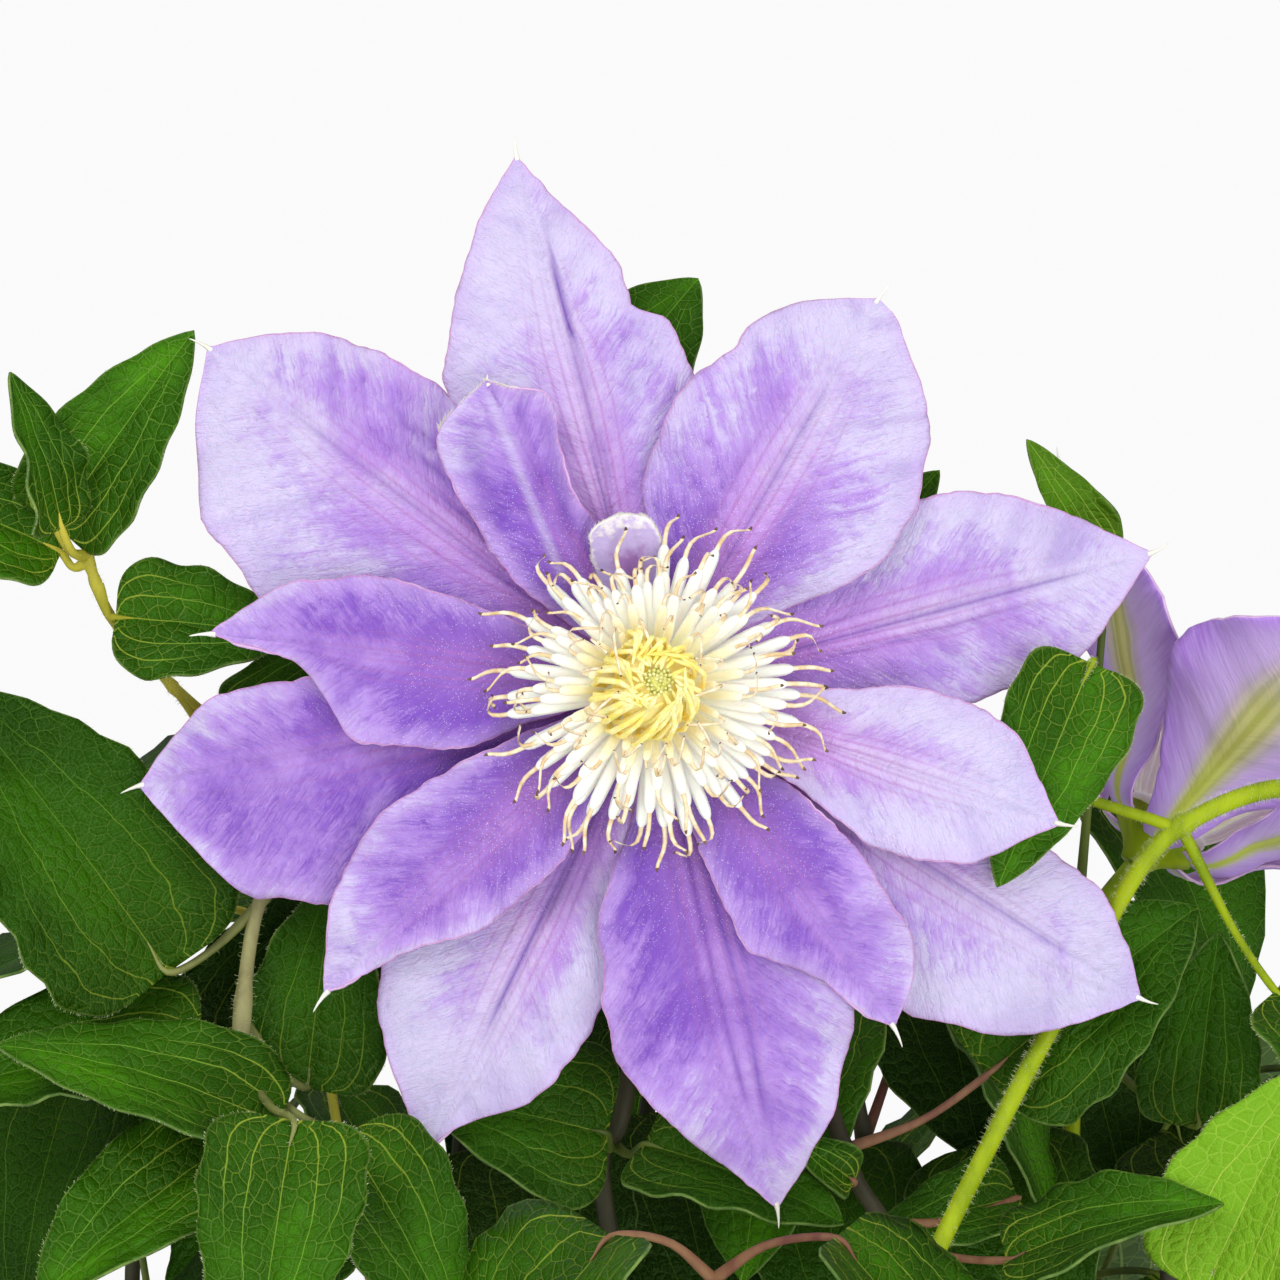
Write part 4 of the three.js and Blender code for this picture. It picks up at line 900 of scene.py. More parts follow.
# A stamen: flat white filament, narrow joint, cream anther, dark tip
stamenRings = [
    (0, 0.7), (0.15, 0.8), (0.3, 0.9), (0.48, 0.98), (0.6, 0.97), (0.665, 0.88), (0.695, 0.66), (0.715, 0.36),
    (0.76, 0.34), (0.81, 0.34), (0.86, 0.34), (0.91, 0.32), (0.95, 0.28),
    (0.975, 0.26), (0.99, 0.2), (1, 0.08),
]
stamen = turned("stamen", 6, stamenRings)
dress(stamen, "filament", "anther", "antherTip")
for face in stamen.data.polygons:
    face.material_index = 0 if face.center.z < 0.71 else 1 if face.center.z < 0.97 else 2

stamenWhorls = [
    {"count": 34, "path": [[5.4, 1.8], [10.5, 6.4], [18, 8.2], [25.4, 9.4]], "width": 0.9},
    {"count": 33, "path": [[4.9, 1.9], [9.2, 6.8], [16, 9.4], [23, 11.0]], "width": 0.9},
    {"count": 29, "path": [[4.2, 1.9], [8.0, 7.0], [13.4, 10.6], [19.6, 12.6]], "width": 0.85},
    {"count": 19, "path": [[3.6, 1.9], [7.0, 7.0], [11.0, 11.8], [15.4, 14.2]], "width": 0.75,
     "hooks": (1.8, 3.2, 4.8)},
    {"count": 15, "path": [[3.2, 1.9], [6.2, 8.0], [8.8, 13.0], [11.6, 15.6]], "width": 0.62,
     "hooks": (3.6, 4.8, 6.0)},
]


def pathPoint(path, share):
    stations = np.linspace(0, 1, len(path))
    return [through(stations, column, share) for column in zip(*path)]


def layStamen(piece, path, turn, lean, width, sway, curl, hook, depth=0.42):
    co = placesOf(piece)
    share = co[:, 2]
    r, z = pathPoint(path, share)
    rAhead, zAhead = pathPoint(path, np.minimum(1, share + 0.01))
    rBack, zBack = pathPoint(path, np.maximum(0, share - 0.01))
    length = np.hypot(rAhead - rBack, zAhead - zBack)
    wayR, wayZ = (rAhead - rBack) / length, (zAhead - zBack) / length
    anther = smooth((share - 0.7) / 0.3)
    flatness = between(depth, 0.8, smooth((share - 0.66) / 0.06))
    thick = co[:, 0] * flatness * width
    aside = co[:, 1] * width + sway * share**2 + curl * anther**2
    lift = abs(curl) * 0.5 * anther**2 - abs(curl) * 0.25 * np.sin(np.pi * anther)
    r = r - wayZ * (thick + lift) - hook * anther**3
    z = z + wayR * (thick + lift)
    r, z = raised(r, z, lean)
    return aroundAxis(r, aside, turn, z)


# The petaloid pushes the outer stamens in front of it back by this much
petaloidGap = {"degrees": 15, "whorls": 2, "reach": 0.86}
discRings = [(1.3, 5.6), (1.9, 6.4), (2.5, 6.2), (4.2, 4.0), (5, 2.0)]


def bloomStamens(name, whorls, share, lean, place, petaloidTurn=None):
    random.seed(name)
    pieces = []
    for ring, whorl in enumerate(whorls):
        count = round(whorl["count"] * share)
        hooks = whorl.get("hooks", (0.2, 0.8, 1.8, 3.2, 4.2))
        for i in range(count):
            degrees = 360 * (i + 0.5 * (ring % 2) + random.uniform(-0.28, 0.28)) / count
            reach = random.uniform(0.88, 1.04)
            if petaloidTurn is not None and ring < petaloidGap["whorls"]:
                isNear = abs((degrees - petaloidTurn + 180) % 360 - 180) < petaloidGap["degrees"]
                reach *= petaloidGap["reach"] if isNear else 1
            piece = copyOf(stamen, f"{name}_{ring}_{i}")
            if ring > 2:
                piece.data.materials[0] = materials["creamFilament"]
            path = [[r * (1 if k == 0 else reach), z] for k, (r, z) in enumerate(whorl["path"])]
            curl = random.choice((-1, 1)) * random.uniform(0.3, 3.6)
            sway = random.uniform(-1.1, 1.1)
            hook = random.choice(hooks) * random.uniform(0.8, 1.1)
            places = layStamen(piece, path, math.radians(degrees), lean, whorl["width"], sway, curl, hook)
            setPlaces(piece, moved(places, place) * mm)
            pieces.append(piece)
    pieces.append(turnedAt(place, f"{name}_disc", 24, discRings, "filament"))
    return smoothed(joinAll(name, pieces))


# The heart: yellow inner stamens arched over the styles
heart = {
    "styles": 44, "stylesWide": 1.7, "stylesAside": (0.8, 1.05), "ribsAside": (-1.7, -0.4),
    "dome": [(2.8, 2.4), (6, 3.2), (9, 4.8), (12, 5.2), (14.4, 3.9), (15.8, 1.8)],
    "pad": [(13, 1.6), (15.4, 1.7), (16.8, 1.4), (17.3, 0.7)],
    "whorls": [
        {"count": 28, "path": [[4.3, 6.0], [7.0, 11.0], [5.9, 15.0], [2.5, 16.8]], "width": 0.66},
        {"count": 24, "path": [[3.9, 6.0], [6.1, 11.6], [4.6, 15.8], [1.9, 17.0]], "width": 0.62},
        {"count": 18, "path": [[3.3, 6.0], [5.0, 12.0], [3.5, 16.2], [1.4, 17.0]], "width": 0.58},
    ],
}
heartRib = turned(
    "heartRib", 6, [(0, 0.5), (0.2, 0.62), (0.45, 0.66), (0.7, 0.6), (0.85, 0.5), (0.95, 0.36), (1, 0.16)]
)
dress(heartRib, "heartYellow")
style = turned("style", 5, [(0, 0.2), (0.5, 0.24), (0.85, 0.26), (1, 0.1)])
dress(style, "styleGreen")


def bloomHeart(name, share, place):
    random.seed(name)
    stylesAside, ribsAside = np.array(heart["stylesAside"]), np.array(heart["ribsAside"])
    pieces = [turnedAt(place, f"{name}_dome", 20, heart["dome"], "heartYellow")]
    for ring, whorl in enumerate(heart["whorls"]):
        count = round(whorl["count"] * share)
        for i in range(count):
            turn = math.tau * (i + 0.5 * ring + random.uniform(-0.3, 0.3)) / count
            piece = copyOf(heartRib, f"{name}_{ring}_{i}")
            reach = random.uniform(0.9, 1.12)
            path = [[r * reach, z + random.uniform(-0.5, 0.5)] for r, z in whorl["path"]]
            sway = random.uniform(-0.4, 3.6)
            places = layStamen(piece, path, turn, 0, whorl["width"], sway, 0.0, 0.0, 0.75)
            high = smooth((places[:, 2:3] - 10) / 7)
            places[:, :2] += high * stylesAside + (1 - high) * ribsAside
            setPlaces(piece, moved(places, place) * mm)
            pieces.append(piece)
    pieces.append(turnedAt(place, f"{name}_pad", 12, heart["pad"], "styleGreen", stylesAside))
    for i in range(heart["styles"]):
        away = heart["stylesWide"] * math.sqrt((i + 0.5) / heart["styles"])
        turn = i * 2.4
        piece = copyOf(style, f"{name}_style_{i}")
        co = placesOf(piece)
        spread = 0.7 + 0.5 * co[:, 2]
        x = co[:, 0] + away * math.cos(turn) * spread + stylesAside[0]
        y = co[:, 1] + away * math.sin(turn) * spread + stylesAside[1]
        z = 15 + co[:, 2] * random.uniform(2.6, 3.4) - away * 0.35
        setPlaces(piece, moved(np.stack([x, y, z], 1), place) * mm)
        pieces.append(piece)
    return smoothed(joinAll(name, pieces))


tepals = bloomTepals("front_tepals", [*frontTepals, petaloid], (34, 84), 0, frontFrame)
finishPiece(tepals, "tepal", "bloom_front_tepals")
stamens = bloomStamens("front_stamens", stamenWhorls, 1, 0, frontFrame, petaloid["turn"])
finishPiece(stamens, "stamen", "bloom_front_stamens")
finishPiece(bloomHeart("front_heart", 1, frontFrame), "heart", "bloom_front_heart")
print("stage 3: main bloom")

tepals = bloomTepals("second_tepals", secondTepals, (24, 40), secondLean, secondFrame)
finishPiece(tepals, "tepal", "bloom_second_tepals")
stamens = bloomStamens("second_stamens", stamenWhorls[:3], 0.6, secondStamenLean, secondFrame)
finishPiece(stamens, "stamen", "bloom_second_stamens")
finishPiece(bloomHeart("second_heart", 0.6, secondFrame), "heart", "bloom_second_heart")
print("stage 4: second bloom")

# Stems: how high the soil stands, how deep they go into it and how far they rise straight
soilTop = 116
stemSunk = 26
stemStraight = 8
petioleRadius = 0.85


# A stem: its radius, its foot in the soil, where its leaf pairs are, and the points it passes. Then how much
# it thins, how it and its stalks look, and how many hairs a millimetre of it and of its leaf rims has
def newStem(name, radius, foot, pairs, points, slim=0.82, looks=("stemShade", "stalkShade"), hairs=None):
    path = [at(*foot, soilTop - stemSunk), at(*foot, soilTop + stemStraight), *points]
    steps = len(path) - 1
    return {
        "name": name, "radius": radius, "foot": foot, "pairs": pairs, "path": path, "slim": slim,
        "looks": looks, "hairs": hairs, "line": [curvePoint(path, i / steps) for i in range(steps + 1)],
        "tree": treeOf(name), "leaves": [], "knots": [],
    }


def curvePoint(points, share):
    last = len(points) - 1
    i = min(int(share * last), last - 1)
    w = share * last - i
    b, c = points[i], points[i + 1]
    a = points[i - 1] if i > 0 else b * 2 - c
    d = points[i + 2] if i + 2 <= last else c * 2 - b
    start, end = (c - a) * 0.5, (d - b) * 0.5
    first = b * (2 * w**3 - 3 * w**2 + 1) + start * (w**3 - 2 * w**2 + w)
    return first + c * (3 * w**2 - 2 * w**3) + end * (w**3 - w**2)


def treeOf(name):
    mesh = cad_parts[name].data
    return BVHTree.FromPolygons([v.co for v in mesh.vertices], [p.vertices for p in mesh.polygons])


stems = [
    newStem("stem_front", 1.6, (-3, -26), [0.22, 0.36], [
        at(-6, -34, 158), at(-3, -42, 201), at(-7, -51, 234), aroundBloom(-4, -58, -21),
        aroundBloom(-1, -36, -25), aroundBloom(-1, -14, -23), aroundBloom(0, -2, -16),
        aroundBloom(0, 0, -receptacle["depth"] - clearance),
    ]),
    newStem("stem_left", 1.6, (-36, -14), [0.32, 0.46], [
        at(-47, -23, 154), at(-54, -40, 189), at(-54, -56, 229), aroundBloom(-54.8, -50.9, -8),
        aroundBloom(-53.5, -31.8, -14), aroundBloom(-50, -24, -18),
    ], slim=0.62, looks=("stemWood", "stalkOlive"), hairs=(4, 3)),
    newStem("stem_upper_left", 1.1, (-24, 3), [0.3, 0.48], [
        at(-32, -4, 162), at(-43, -16, 217), at(-50, -31, 268), aroundBloom(-61, -5.5, -20),
        aroundBloom(-66, 1.7, -16), aroundBloom(-72.5, 9.5, -12), aroundBloom(-75.5, 17.5, -10),
    ], slim=0.66, looks=("stalkGold", "stalkGold"), hairs=(5, 2)),
    newStem("stem_right", 1.8, (29, -26), [0.2], [
        at(34, -47, 162), at(31, -65, 201), aroundBloom(33, -84, 0), aroundBloom(46, -58, -5),
        aroundBloom(54.5, -43, -9), aroundBloom(65.2, -23.9, -9), aroundBloom(73, -17, -8),
        aroundBloom(84, -13.4, -7), aroundBloom(92, -17, -7), aroundBloom(95, -26, -7),
    ], slim=0.7, looks=("stalkGreen", "stalkGreen"), hairs=(34, 7)),
    newStem("stem_lower_right", 1.5, (15, -32), [0.36], [
        at(16, -47, 158), at(22, -58, 201), aroundBloom(31, -76, -16), aroundBloom(26.7, -64.7, -15),
        aroundBloom(22, -50, -20),
    ], looks=("stemShade", "twigRed")),
    newStem("stem_second_bloom", 1.6, (39, 2), [0.4], [
        at(52, 0, 162), at(60, -11, 209), at(59, -29, 246), aroundBloom(59, -39, -42),
        secondCentre - secondFacing * 14, secondCentre - secondFacing * (receptacle["depth"] + clearance),
    ], looks=("stalkGreen", "stalkShade")),
    newStem("stem_back_left", 1.5, (-32, 24), [0.36, 0.66, 1], [
        at(-46, 38, 160), at(-57, 46, 200), at(-58, 44, 238), at(-50, 36, 268),
    ]),
    newStem("stem_back", 1.5, (3, 37), [0.36, 0.66, 1], [
        at(4, 56, 160), at(-4, 67, 200), at(-2, 66, 240), at(4, 54, 272),
    ]),
    newStem("stem_back_right", 1.5, (34, 26), [0.36, 0.66, 1], [
        at(48, 36, 160), at(60, 43, 198), at(62, 42, 234), at(56, 38, 262),
    ]),
    newStem("stem_middle", 1.5, (0, 3), [0.3], [
        at(-5, 7, 186), at(2, 5, 241), at(7, -9, 284), aroundBloom(6, 20, -25), aroundBloom(3, 31, -19),
    ]),
    newStem("stem_middle_left", 1.4, (-15, -14), [1], [
        at(-22, -16, 166), at(-28, -12, 214), at(-24, -18, 254),
    ]),
    newStem("stem_middle_right", 1.4, (19, -8), [1], [
        at(24, -12, 164), at(32, -14, 210), at(27, -22, 248),
    ], looks=("stemShade", "twigRed")),
    newStem("stem_low_left", 1.4, (-19, -37), [0.42, 0.72, 1], [
        at(-26, -56, 150), at(-33, -72, 188), at(-30, -80, 226),
    ]),
    newStem("stem_low_front", 1.4, (3, -48), [0.42, 0.72, 1], [
        at(8, -66, 150), at(13, -80, 190), at(8, -84, 230),
    ], looks=("stemShade", "twigRed")),
    newStem("stem_low_right", 1.4, (46, -20), [0.42, 0.72, 1], [
        at(60, -38, 152), at(70, -52, 188), at(70, -60, 226),
    ]),
    newStem("stem_side_left", 1.4, (-49, 2), [0.42, 0.72, 1], [
        at(-66, -2, 154), at(-76, -6, 194), at(-72, -14, 230),
    ]),
    newStem("stem_side_right", 1.4, (53, 8), [0.42, 0.72, 1], [
        at(70, 12, 154), at(80, 12, 190), at(78, 4, 224),
    ]),
]
byName = {stem["name"]: stem for stem in stems}

# The leaf that lies close over a tepal, on a stalk that comes up beside it
closeLeaf = {"fold": 0.05, "arch": 10, "by": (48.5, -10, -8)}
# Leaves near the bloom: a share along the stem, then base, tip, width, the way it faces, and tone; a low tone
# paints the leaf in shade. Places are around the bloom's centre
nearLeaves = {
    "stem_upper_left": [
        (1, (-79.5, 21.5, -10), (-61.5, 47, -8), 17, (0.1, 0.3, 1), 0.5),
        (1, (-78, 21, -9), (-84, 41, -4), 12, (1, 0.2, 0.8), 0.45),
        (0.99, (-79, 18, -8), (-104, 27, -9), 17, (0.1, 0.6, 1), 0.55),
        (0.94, (-71.5, 9.3, -9), (-48.5, 6.5, -13), 16.5, (0, 0.3, 1), 0.5),
        (0.72, (-56, -4, -20), (-42, 6, -22), 10, (0, 0.3, 1), 0.3),
    ],
    "stem_left": [
        (0.92, (-64.5, -38, -9), (-94, 0, -11), 31, (0.2, 0.3, 1), 0.2),
        (0.76, (-60, -47.5, -9), (-99, -57, -12), 25, (0, 1, 0.8), 0.3),
        (0.72, (-49, -57.5, 0), (-85, -46, 4), 20, (0, 1, 0.9), 0.4),
        (0.7, (-57, -61, -3), (-80, -80, 4), 20, (-0.2, 0.8, 1), 0.5),
        (0.72, (-46.5, -56, 3), (-51, -90, 10), 22, (0, 0.6, 1), 0.45),
        (0.72, (-40.5, -58.8, -3), (-25, -87, 2), 19, (0.2, 0.6, 1), 0.4),
        (0.76, (-46.5, -54, -8), (-43, -26, -12), 20, (0, 0.2, 1), 0.2),
        (0.78, (-57, -50, -18), (-44, -27, -22), 21, (0, 0.3, 1), 0.1),
    ],
    "stem_front": [
        (0.5, (-6, -60, -13), (-30, -55, -10), 24, (0.1, 0.5, 1), 0.22),
        (0.5, (-1, -61.5, -13), (25, -71, -4), 19, (0, 0.7, 0.8), 0.2),
    ],
    "stem_lower_right": [
        (0.85, (27, -66, -10), (19, -60, -7), 7, (0, 0.5, 1), 0.4),
        (0.86, (45, -52, -13), (73, -30, -16), 26, (0, 0.4, 1), 0.25),
        (0.72, (47, -76, -6), (74, -67, 2), 17, (0, 1, 0.7), 0.4),
        (0.72, (50, -70, -16), (30, -75, -10), 13, (0, 0.8, 1), 0.24),
    ],
    "stem_second_bloom": [
        (0.6, (74, -60, -24), (77, -34, -22), 17, (-0.2, 0.1, 1), 0.2),
        (0.72, (61.5, 17, -18), (50.8, 33.1, -15), 8, (0, 0.3, 1), 0.8),
        (0.45, (62, -46, -66), (70, -80, -56), 30, (0, 0.3, 1), 0.1),
        (0.32, (74, -64, -62), (98, -88, -54), 26, (0, 0.4, 1), 0.1),
    ],
    "stem_right": [
        (0.33, (73, -80, 2), (88, -50, 2), 22, (-0.3, 0.4, 1), 0.95),
        (0.7, (57.5, 3.3, 1.5), (45.5, -25.3, 2.6), 17.5, (0.15, 0.1, 1), 0.6, closeLeaf),
        (0.7, (84, -41, -10), (104, -60, -6), 20, (0.2, 0.8, 0.8), 0.5),
    ],
    "stem_middle": [
        (0.96, (-8.5, 36, -17), (6, 54.8, -15), 20, (0, 0.2, 1), 0.4),
        (0.9, (26, 14, -20), (38.5, 29, -17), 11, (0, 0.3, 1), 0.4),
        (0.36, (2, -62, -66), (10, -96, -56), 30, (0, 0.3, 1), 0.1),
        (0.48, (-8, -44, -70), (-28, -74, -62), 30, (0, 0.3, 1), 0.1),
        (0.5, (12, -40, -74), (26, -72, -70), 30, (0, 0.3, 1), 0.1),
    ],
    "stem_middle_left": [
        (0.62, (-18, -66, -56), (-12, -98, -48), 29, (0, 0.3, 1), 0.1),
        (0.62, (-48, -68, -56), (-66, -96, -46), 28, (0, 0.4, 1), 0.2),
        (0.9, (-40, -34, -58), (-64, -58, -54), 28, (0, 0.3, 1), 0.1),
    ],
    "stem_side_left": [
        (0.6, (-76, -58, -54), (-92, -86, -44), 25, (0, 0.4, 1), 0.2),
    ],
    "stem_middle_right": [
        (0.6, (24, -67, -55), (28, -97, -45), 28, (0, 0.3, 1), 0.15),
        (0.85, (40, -36, -62), (47, -68, -56), 29, (0, 0.3, 1), 0.1),
        (0.72, (47, -65, -52), (57, -95, -44), 27, (0, 0.3, 1), 0.15),
    ],
}
nearShifts = [0, -1.5, 1.5, -3, 3, -4.5, 4.5, -6, 6, -8, 8, -10, 10, -12]
swings = [(turn, pitch) for turn in (0, 16, -16, 32, -32, 48, -48, 64, -64) for pitch in (0, 14, -14)]
leafRows = [0, 0.12, 0.4, 0.72, 1]
nearLeafRows = [0, 0.1, 0.3, 0.55, 0.8, 1]
leafForm = {
    "veins": (0.37, 0.71), "veinDepth": 0.3, "veinWidth": 0.8, "ribDepth": 0.45, "ribWidth": 0.9,
    "frill": 0.55, "swell": 0.5, "edgeWaver": 0.03,
}
leafMiss = 0.6


def stemPoint(stem, share):
    steps = len(stem["line"]) - 1
    ring = min(steps - 1, int(share * steps))
    return stem["line"][ring].lerp(stem["line"][ring + 1], share * steps - ring)


def leafPlaces(leaf, s, t, fine=False):
    bend = math.radians(leaf["arch"]) / leaf["length"]
    across = np.sin(np.pi * np.clip(t, 0, 1) ** 0.62).clip(0) ** 0.8
    half = across * leaf["width"] / 2
    y = leaf["length"] * (t - leaf["heart"] * t * (1 - t) ** 3 * s * s)
    z = leaf["fold"] * np.abs(s) * half + leaf["wave"] * s * s * np.sin(8 * t + leaf["phase"]) * across
    x = s * half
    if fine:
        form = leafForm
        edge = np.abs(s) ** 4
        z = z + form["frill"] * edge * np.sin(y * 0.8 + leaf["phase"] * 3 + np.sign(s)) * across
        z = z - form["ribDepth"] * bump(x, 0, form["ribWidth"]) * across
        for vein in form["veins"]:
            z = z - form["veinDepth"] * bump((np.abs(s) - vein) * half, 0, form["veinWidth"]) * across
        z = z + form["swell"] * noiseAt(np.stack([x, y, 0 * x], 1), 0.22, leaf["phase"] * 10) * across
        x = x * (1 + form["edgeWaver"] * edge * np.sin(y * 0.9 + leaf["phase"] * 5))
    turn = bend * y
    low = z * np.cos(turn) - (1 - np.cos(turn)) / bend
    return np.stack([x, np.sin(turn) / bend + z * np.sin(turn), low], 1), half


def leafFrame(base, way, face):
    y = way.normalized()
    z = (face - y * face.dot(y)).normalized()
    x = y.cross(z)
    return Matrix.Translation(base) @ Matrix((x, y, z)).transposed().to_4x4()


# Of the places that a leaf may have, the one that its solid in the frame has
def bestPlace(tree, leaf, rows, places):
    s, t = (a.ravel() for a in np.meshgrid([-1.0, 0.0, 1.0], rows[1:-1]))
    local, _ = leafPlaces(leaf, s, t)
    best = None
    for place in places:
        points = moved(local, place["frame"]) * mm
        miss = sum(tree.find_nearest(Vector(p))[3] for p in points) / len(points) / mm
        if best is None or miss < best[0]:
            best = (miss, place)
    return best[1] if best[0] < leafMiss else None


def growNearLeaf(stem, draw, share, base, tip, width, face, tone, given=None):
    start = stemPoint(stem, share)
    base, tip = aroundBloom(*base), aroundBloom(*tip)
    face = aroundBloom(*face) - centre
    chord = tip - base
    leaf = {"length": chord.length * 1.03, "width": width, "tone": tone}
    leaf["arch"] = given["arch"] if given else draw(24, 40)
    leaf["fold"] = given["fold"] if given else draw(0.1, 0.3)
    leaf.update(heart=draw(0.9, 1.5), wave=draw(0.6, 1.3), phase=draw(0, 6))
    rise = face.normalized() * chord.length * math.tan(math.radians(leaf["arch"] / 2))
    places = []
    for shift in nearShifts:
        foot = base + bloomOut * shift
        places.append({
            "frame": leafFrame(foot, chord + rise, face),
            "middle": aroundBloom(*given["by"]) if given else start.lerp(foot, 0.55) - bloomUp * 1.5,
            "start": start, "leaf": leaf, "isNear": True,
        })
    return bestPlace(stem["tree"], leaf, nearLeafRows, places)


def growStemLeaf(stem, draw, share, around, size):
    start = stemPoint(stem, share)
    petiole = draw(15, 27) * size
    rise = math.radians(draw(18, 42))
    pitch = draw(-46, -12)
    roll = math.radians(draw(-18, 18))
    length = draw(37, 50) * size
    leaf = {"length": length, "width": length * draw(0.58, 0.7), "arch": draw(22, 44)}
    leaf.update(fold=draw(0.08, 0.3), heart=draw(0.9, 1.5), wave=draw(0.6, 1.3), phase=draw(0, 6))
    # The tone differs at random from leaf to leaf; the lowest tones also mix in painted shade
    leaf["tone"] = 0.12 + leaf["phase"] / 6 * 0.4
    up = Vector((0, 0, 1))
    places = []
    for turn, tip in swings:
        azimuth = around + math.radians(turn)
        angle = math.radians(pitch + tip)
        level = Vector((math.cos(azimuth), math.sin(azimuth), 0))
        base = start + level * petiole * math.cos(rise) + up * petiole * math.sin(rise)
        way = level * math.cos(angle) + up * math.sin(angle)
        face = Matrix.Rotation(roll, 3, way) @ (up * math.cos(angle) - level * math.sin(angle))
        middle = start + level * petiole * 0.45 * math.cos(rise)
        places.append({
            "frame": leafFrame(base, way, face),
            "middle": middle + up * (petiole * 0.62 * math.sin(rise) + 0.8),
            "start": start, "leaf": leaf, "isNear": False,
        })
    return bestPlace(stem["tree"], leaf, leafRows, places)


def keepLeaf(stem, share, place):
    if place:
        stem["leaves"].append(place)
        stem["knots"].append(share)
    return place is None


draw = seededDraws(5)
missed = 0
for name, leaves in nearLeaves.items():
    for share, *rest in leaves:
        missed += keepLeaf(byName[name], share, growNearLeaf(byName[name], draw, share, *rest))

draw = seededDraws(29)
for stem in stems:
    for i, share in enumerate(stem["pairs"]):
        point = stemPoint(stem, share)
        outward = math.atan2(point.y, point.x)
        isSpread = i % 2 == 0
        around = outward + math.radians(draw(-20, 20)) + (math.pi / 2.6 if isSpread else 0)
        opposite = outward * 2 - around if isSpread else around + math.pi
        for way, size in ((around, 1), (opposite, 1 if isSpread else 0.72)):
            missed += keepLeaf(stem, share, growStemLeaf(stem, draw, share, way, size))
print("stage 5: leaf places,", sum(len(stem["leaves"]) for stem in stems), "found,", missed, "left out")

nearBlank = blankSheet("nearLeafBlank", 20, 34)
leafBlank = blankSheet("leafBlank", 10, 18)


def leafPiece(name, place):
    piece = copyOf(nearBlank if place["isNear"] else leafBlank, name)
    leaf = place["leaf"]
    co = placesOf(piece)
    s, t = co[:, 0], (co[:, 1] + 1) / 2
    local, half = leafPlaces(leaf, s, t, True)
    setPlaces(piece, moved(local, place["frame"]) * mm)
    setAttribute(piece, "blade", np.stack([s * half, t * leaf["length"], half], 1))
    setAttribute(piece, "kind", np.stack([s, t, t * 0 + leaf["tone"]], 1))
    return thickened(piece, "leafFace", "leafUnder", "leafRim")


def lineLength(points):
    return sum((b - a).length for a, b in zip(points, points[1:]))


# The line and radii of a stem, thicker where leaves leave it
def stemStrand(stem):
    steps = (len(stem["path"]) - 1) * 7
    shares = [i / steps for i in range(steps + 1)]
    points = [curvePoint(stem["path"], share) for share in shares]
    length = lineLength(points)
    radii = []
    for share in shares:
        swell = sum(math.exp(-(((share - knot) * length / 2.2) ** 2)) for knot in set(stem["knots"]))
        thinned = stem["radius"] * between(1, stem["slim"], smooth(share * 3))
        radii.append(thinned * (1 + 0.4 * min(1, swell)))
    return points, radii


def petioleStrand(place):
    local, _ = leafPlaces(place["leaf"], np.array([0.0, 0.0]), np.array([0.0, 0.1]))
    base, sunk = (Vector(p) for p in moved(local, place["frame"]))
    line = [place["start"], place["middle"], base, sunk]
    points = [curvePoint(line, i / 16) for i in range(17)]
    radii = [between(petioleRadius, 0.56, smooth(i / 6)) for i in range(11)]
    return points, radii + [between(0.56, 0.1, (i - 10) / 6) for i in range(11, 17)]


def stemHairs(stem):
    if not stem["hairs"]:
        return []
    random.seed(stem["name"])
    onStem, onRims = stem["hairs"]
    points, radii = stemStrand(stem)
    start = len(points) // 3
    points, radii = points[start:], radii[start:]
    hairs = hairsAlong(points, radii, round(lineLength(points) * onStem), 0.6, 0.02)
    for place in stem["leaves"]:
        if not place["isNear"]:
            continue
        points, radii = petioleStrand(place)
        hairs += hairsAlong(points, radii, round(lineLength(points) * onStem * 0.4), 0.4, 0.018)
        count = round(2 * place["leaf"]["length"] * onRims)
        s = np.array([random.choice((-1.0, 1.0)) for _ in range(count)])
        t = np.array([random.uniform(0.03, 0.99) for _ in range(count)])
        edge, inside = (leafPlaces(place["leaf"], s * k, t, True)[0] for k in (1, 0.93))
        hairs += hairsFromEdge(moved(edge, place["frame"]), moved(inside, place["frame"]), 0.35, 0.022)
    return hairs


for stem in stems:
    name = stem["name"].replace("stem", "foliage")
    woody, green = stem["looks"]
    pieces = [
        strandsMesh(f"{name}_stalk", [stemStrand(stem)], "stem", woody),
        strandsMesh(f"{name}_petioles", [petioleStrand(place) for place in stem["leaves"]], "petiole", green),
    ]
    pieces += [leafPiece(f"{name}_{i}", place) for i, place in enumerate(stem["leaves"])]
    hairs = stemHairs(stem)
    if hairs:
        pieces.append(strandsMesh(f"{name}_hairs", hairs, "hair", "greenDown"))
    finishPiece(smoothed(joinAll(name, pieces)), "leafy_stem", stem["name"])
for helper in (nearBlank, leafBlank, stamen, heartRib, style, spur, *sections.values()):
    bpy.data.objects.remove(helper)
print("stage 6: stems and leaves")

# The pot: a turned clay shell with drain holes in its floor
pot = {
    "floor": 8, "innerFoot": 50, "innerTop": 75.5, "height": 130,
    "holes": 3, "holeRadius": 4.5, "holeCircle": 27, "holeDepth": 16,
}
potRings = [
    (8, 50), (60, 60.9), (125, 74.5), (129.2, 75.4), (129.8, 75.9), (130, 76.7), (130, 79.7), (129.7, 80.9),
    (128.9, 81.7), (127.4, 82), (118, 81.3), (107.9, 80.5), (106.9, 80.1), (106.4, 79.2), (105.6, 76.9),
    (104.6, 76.3), (70, 69.4), (35, 62.6), (2.4, 56.1), (0.8, 55.6), (0, 54.3),
]


def turnedInMetres(name, sides, rings):
    return turned(name, sides, [(z * mm, radius * mm) for z, radius in rings])


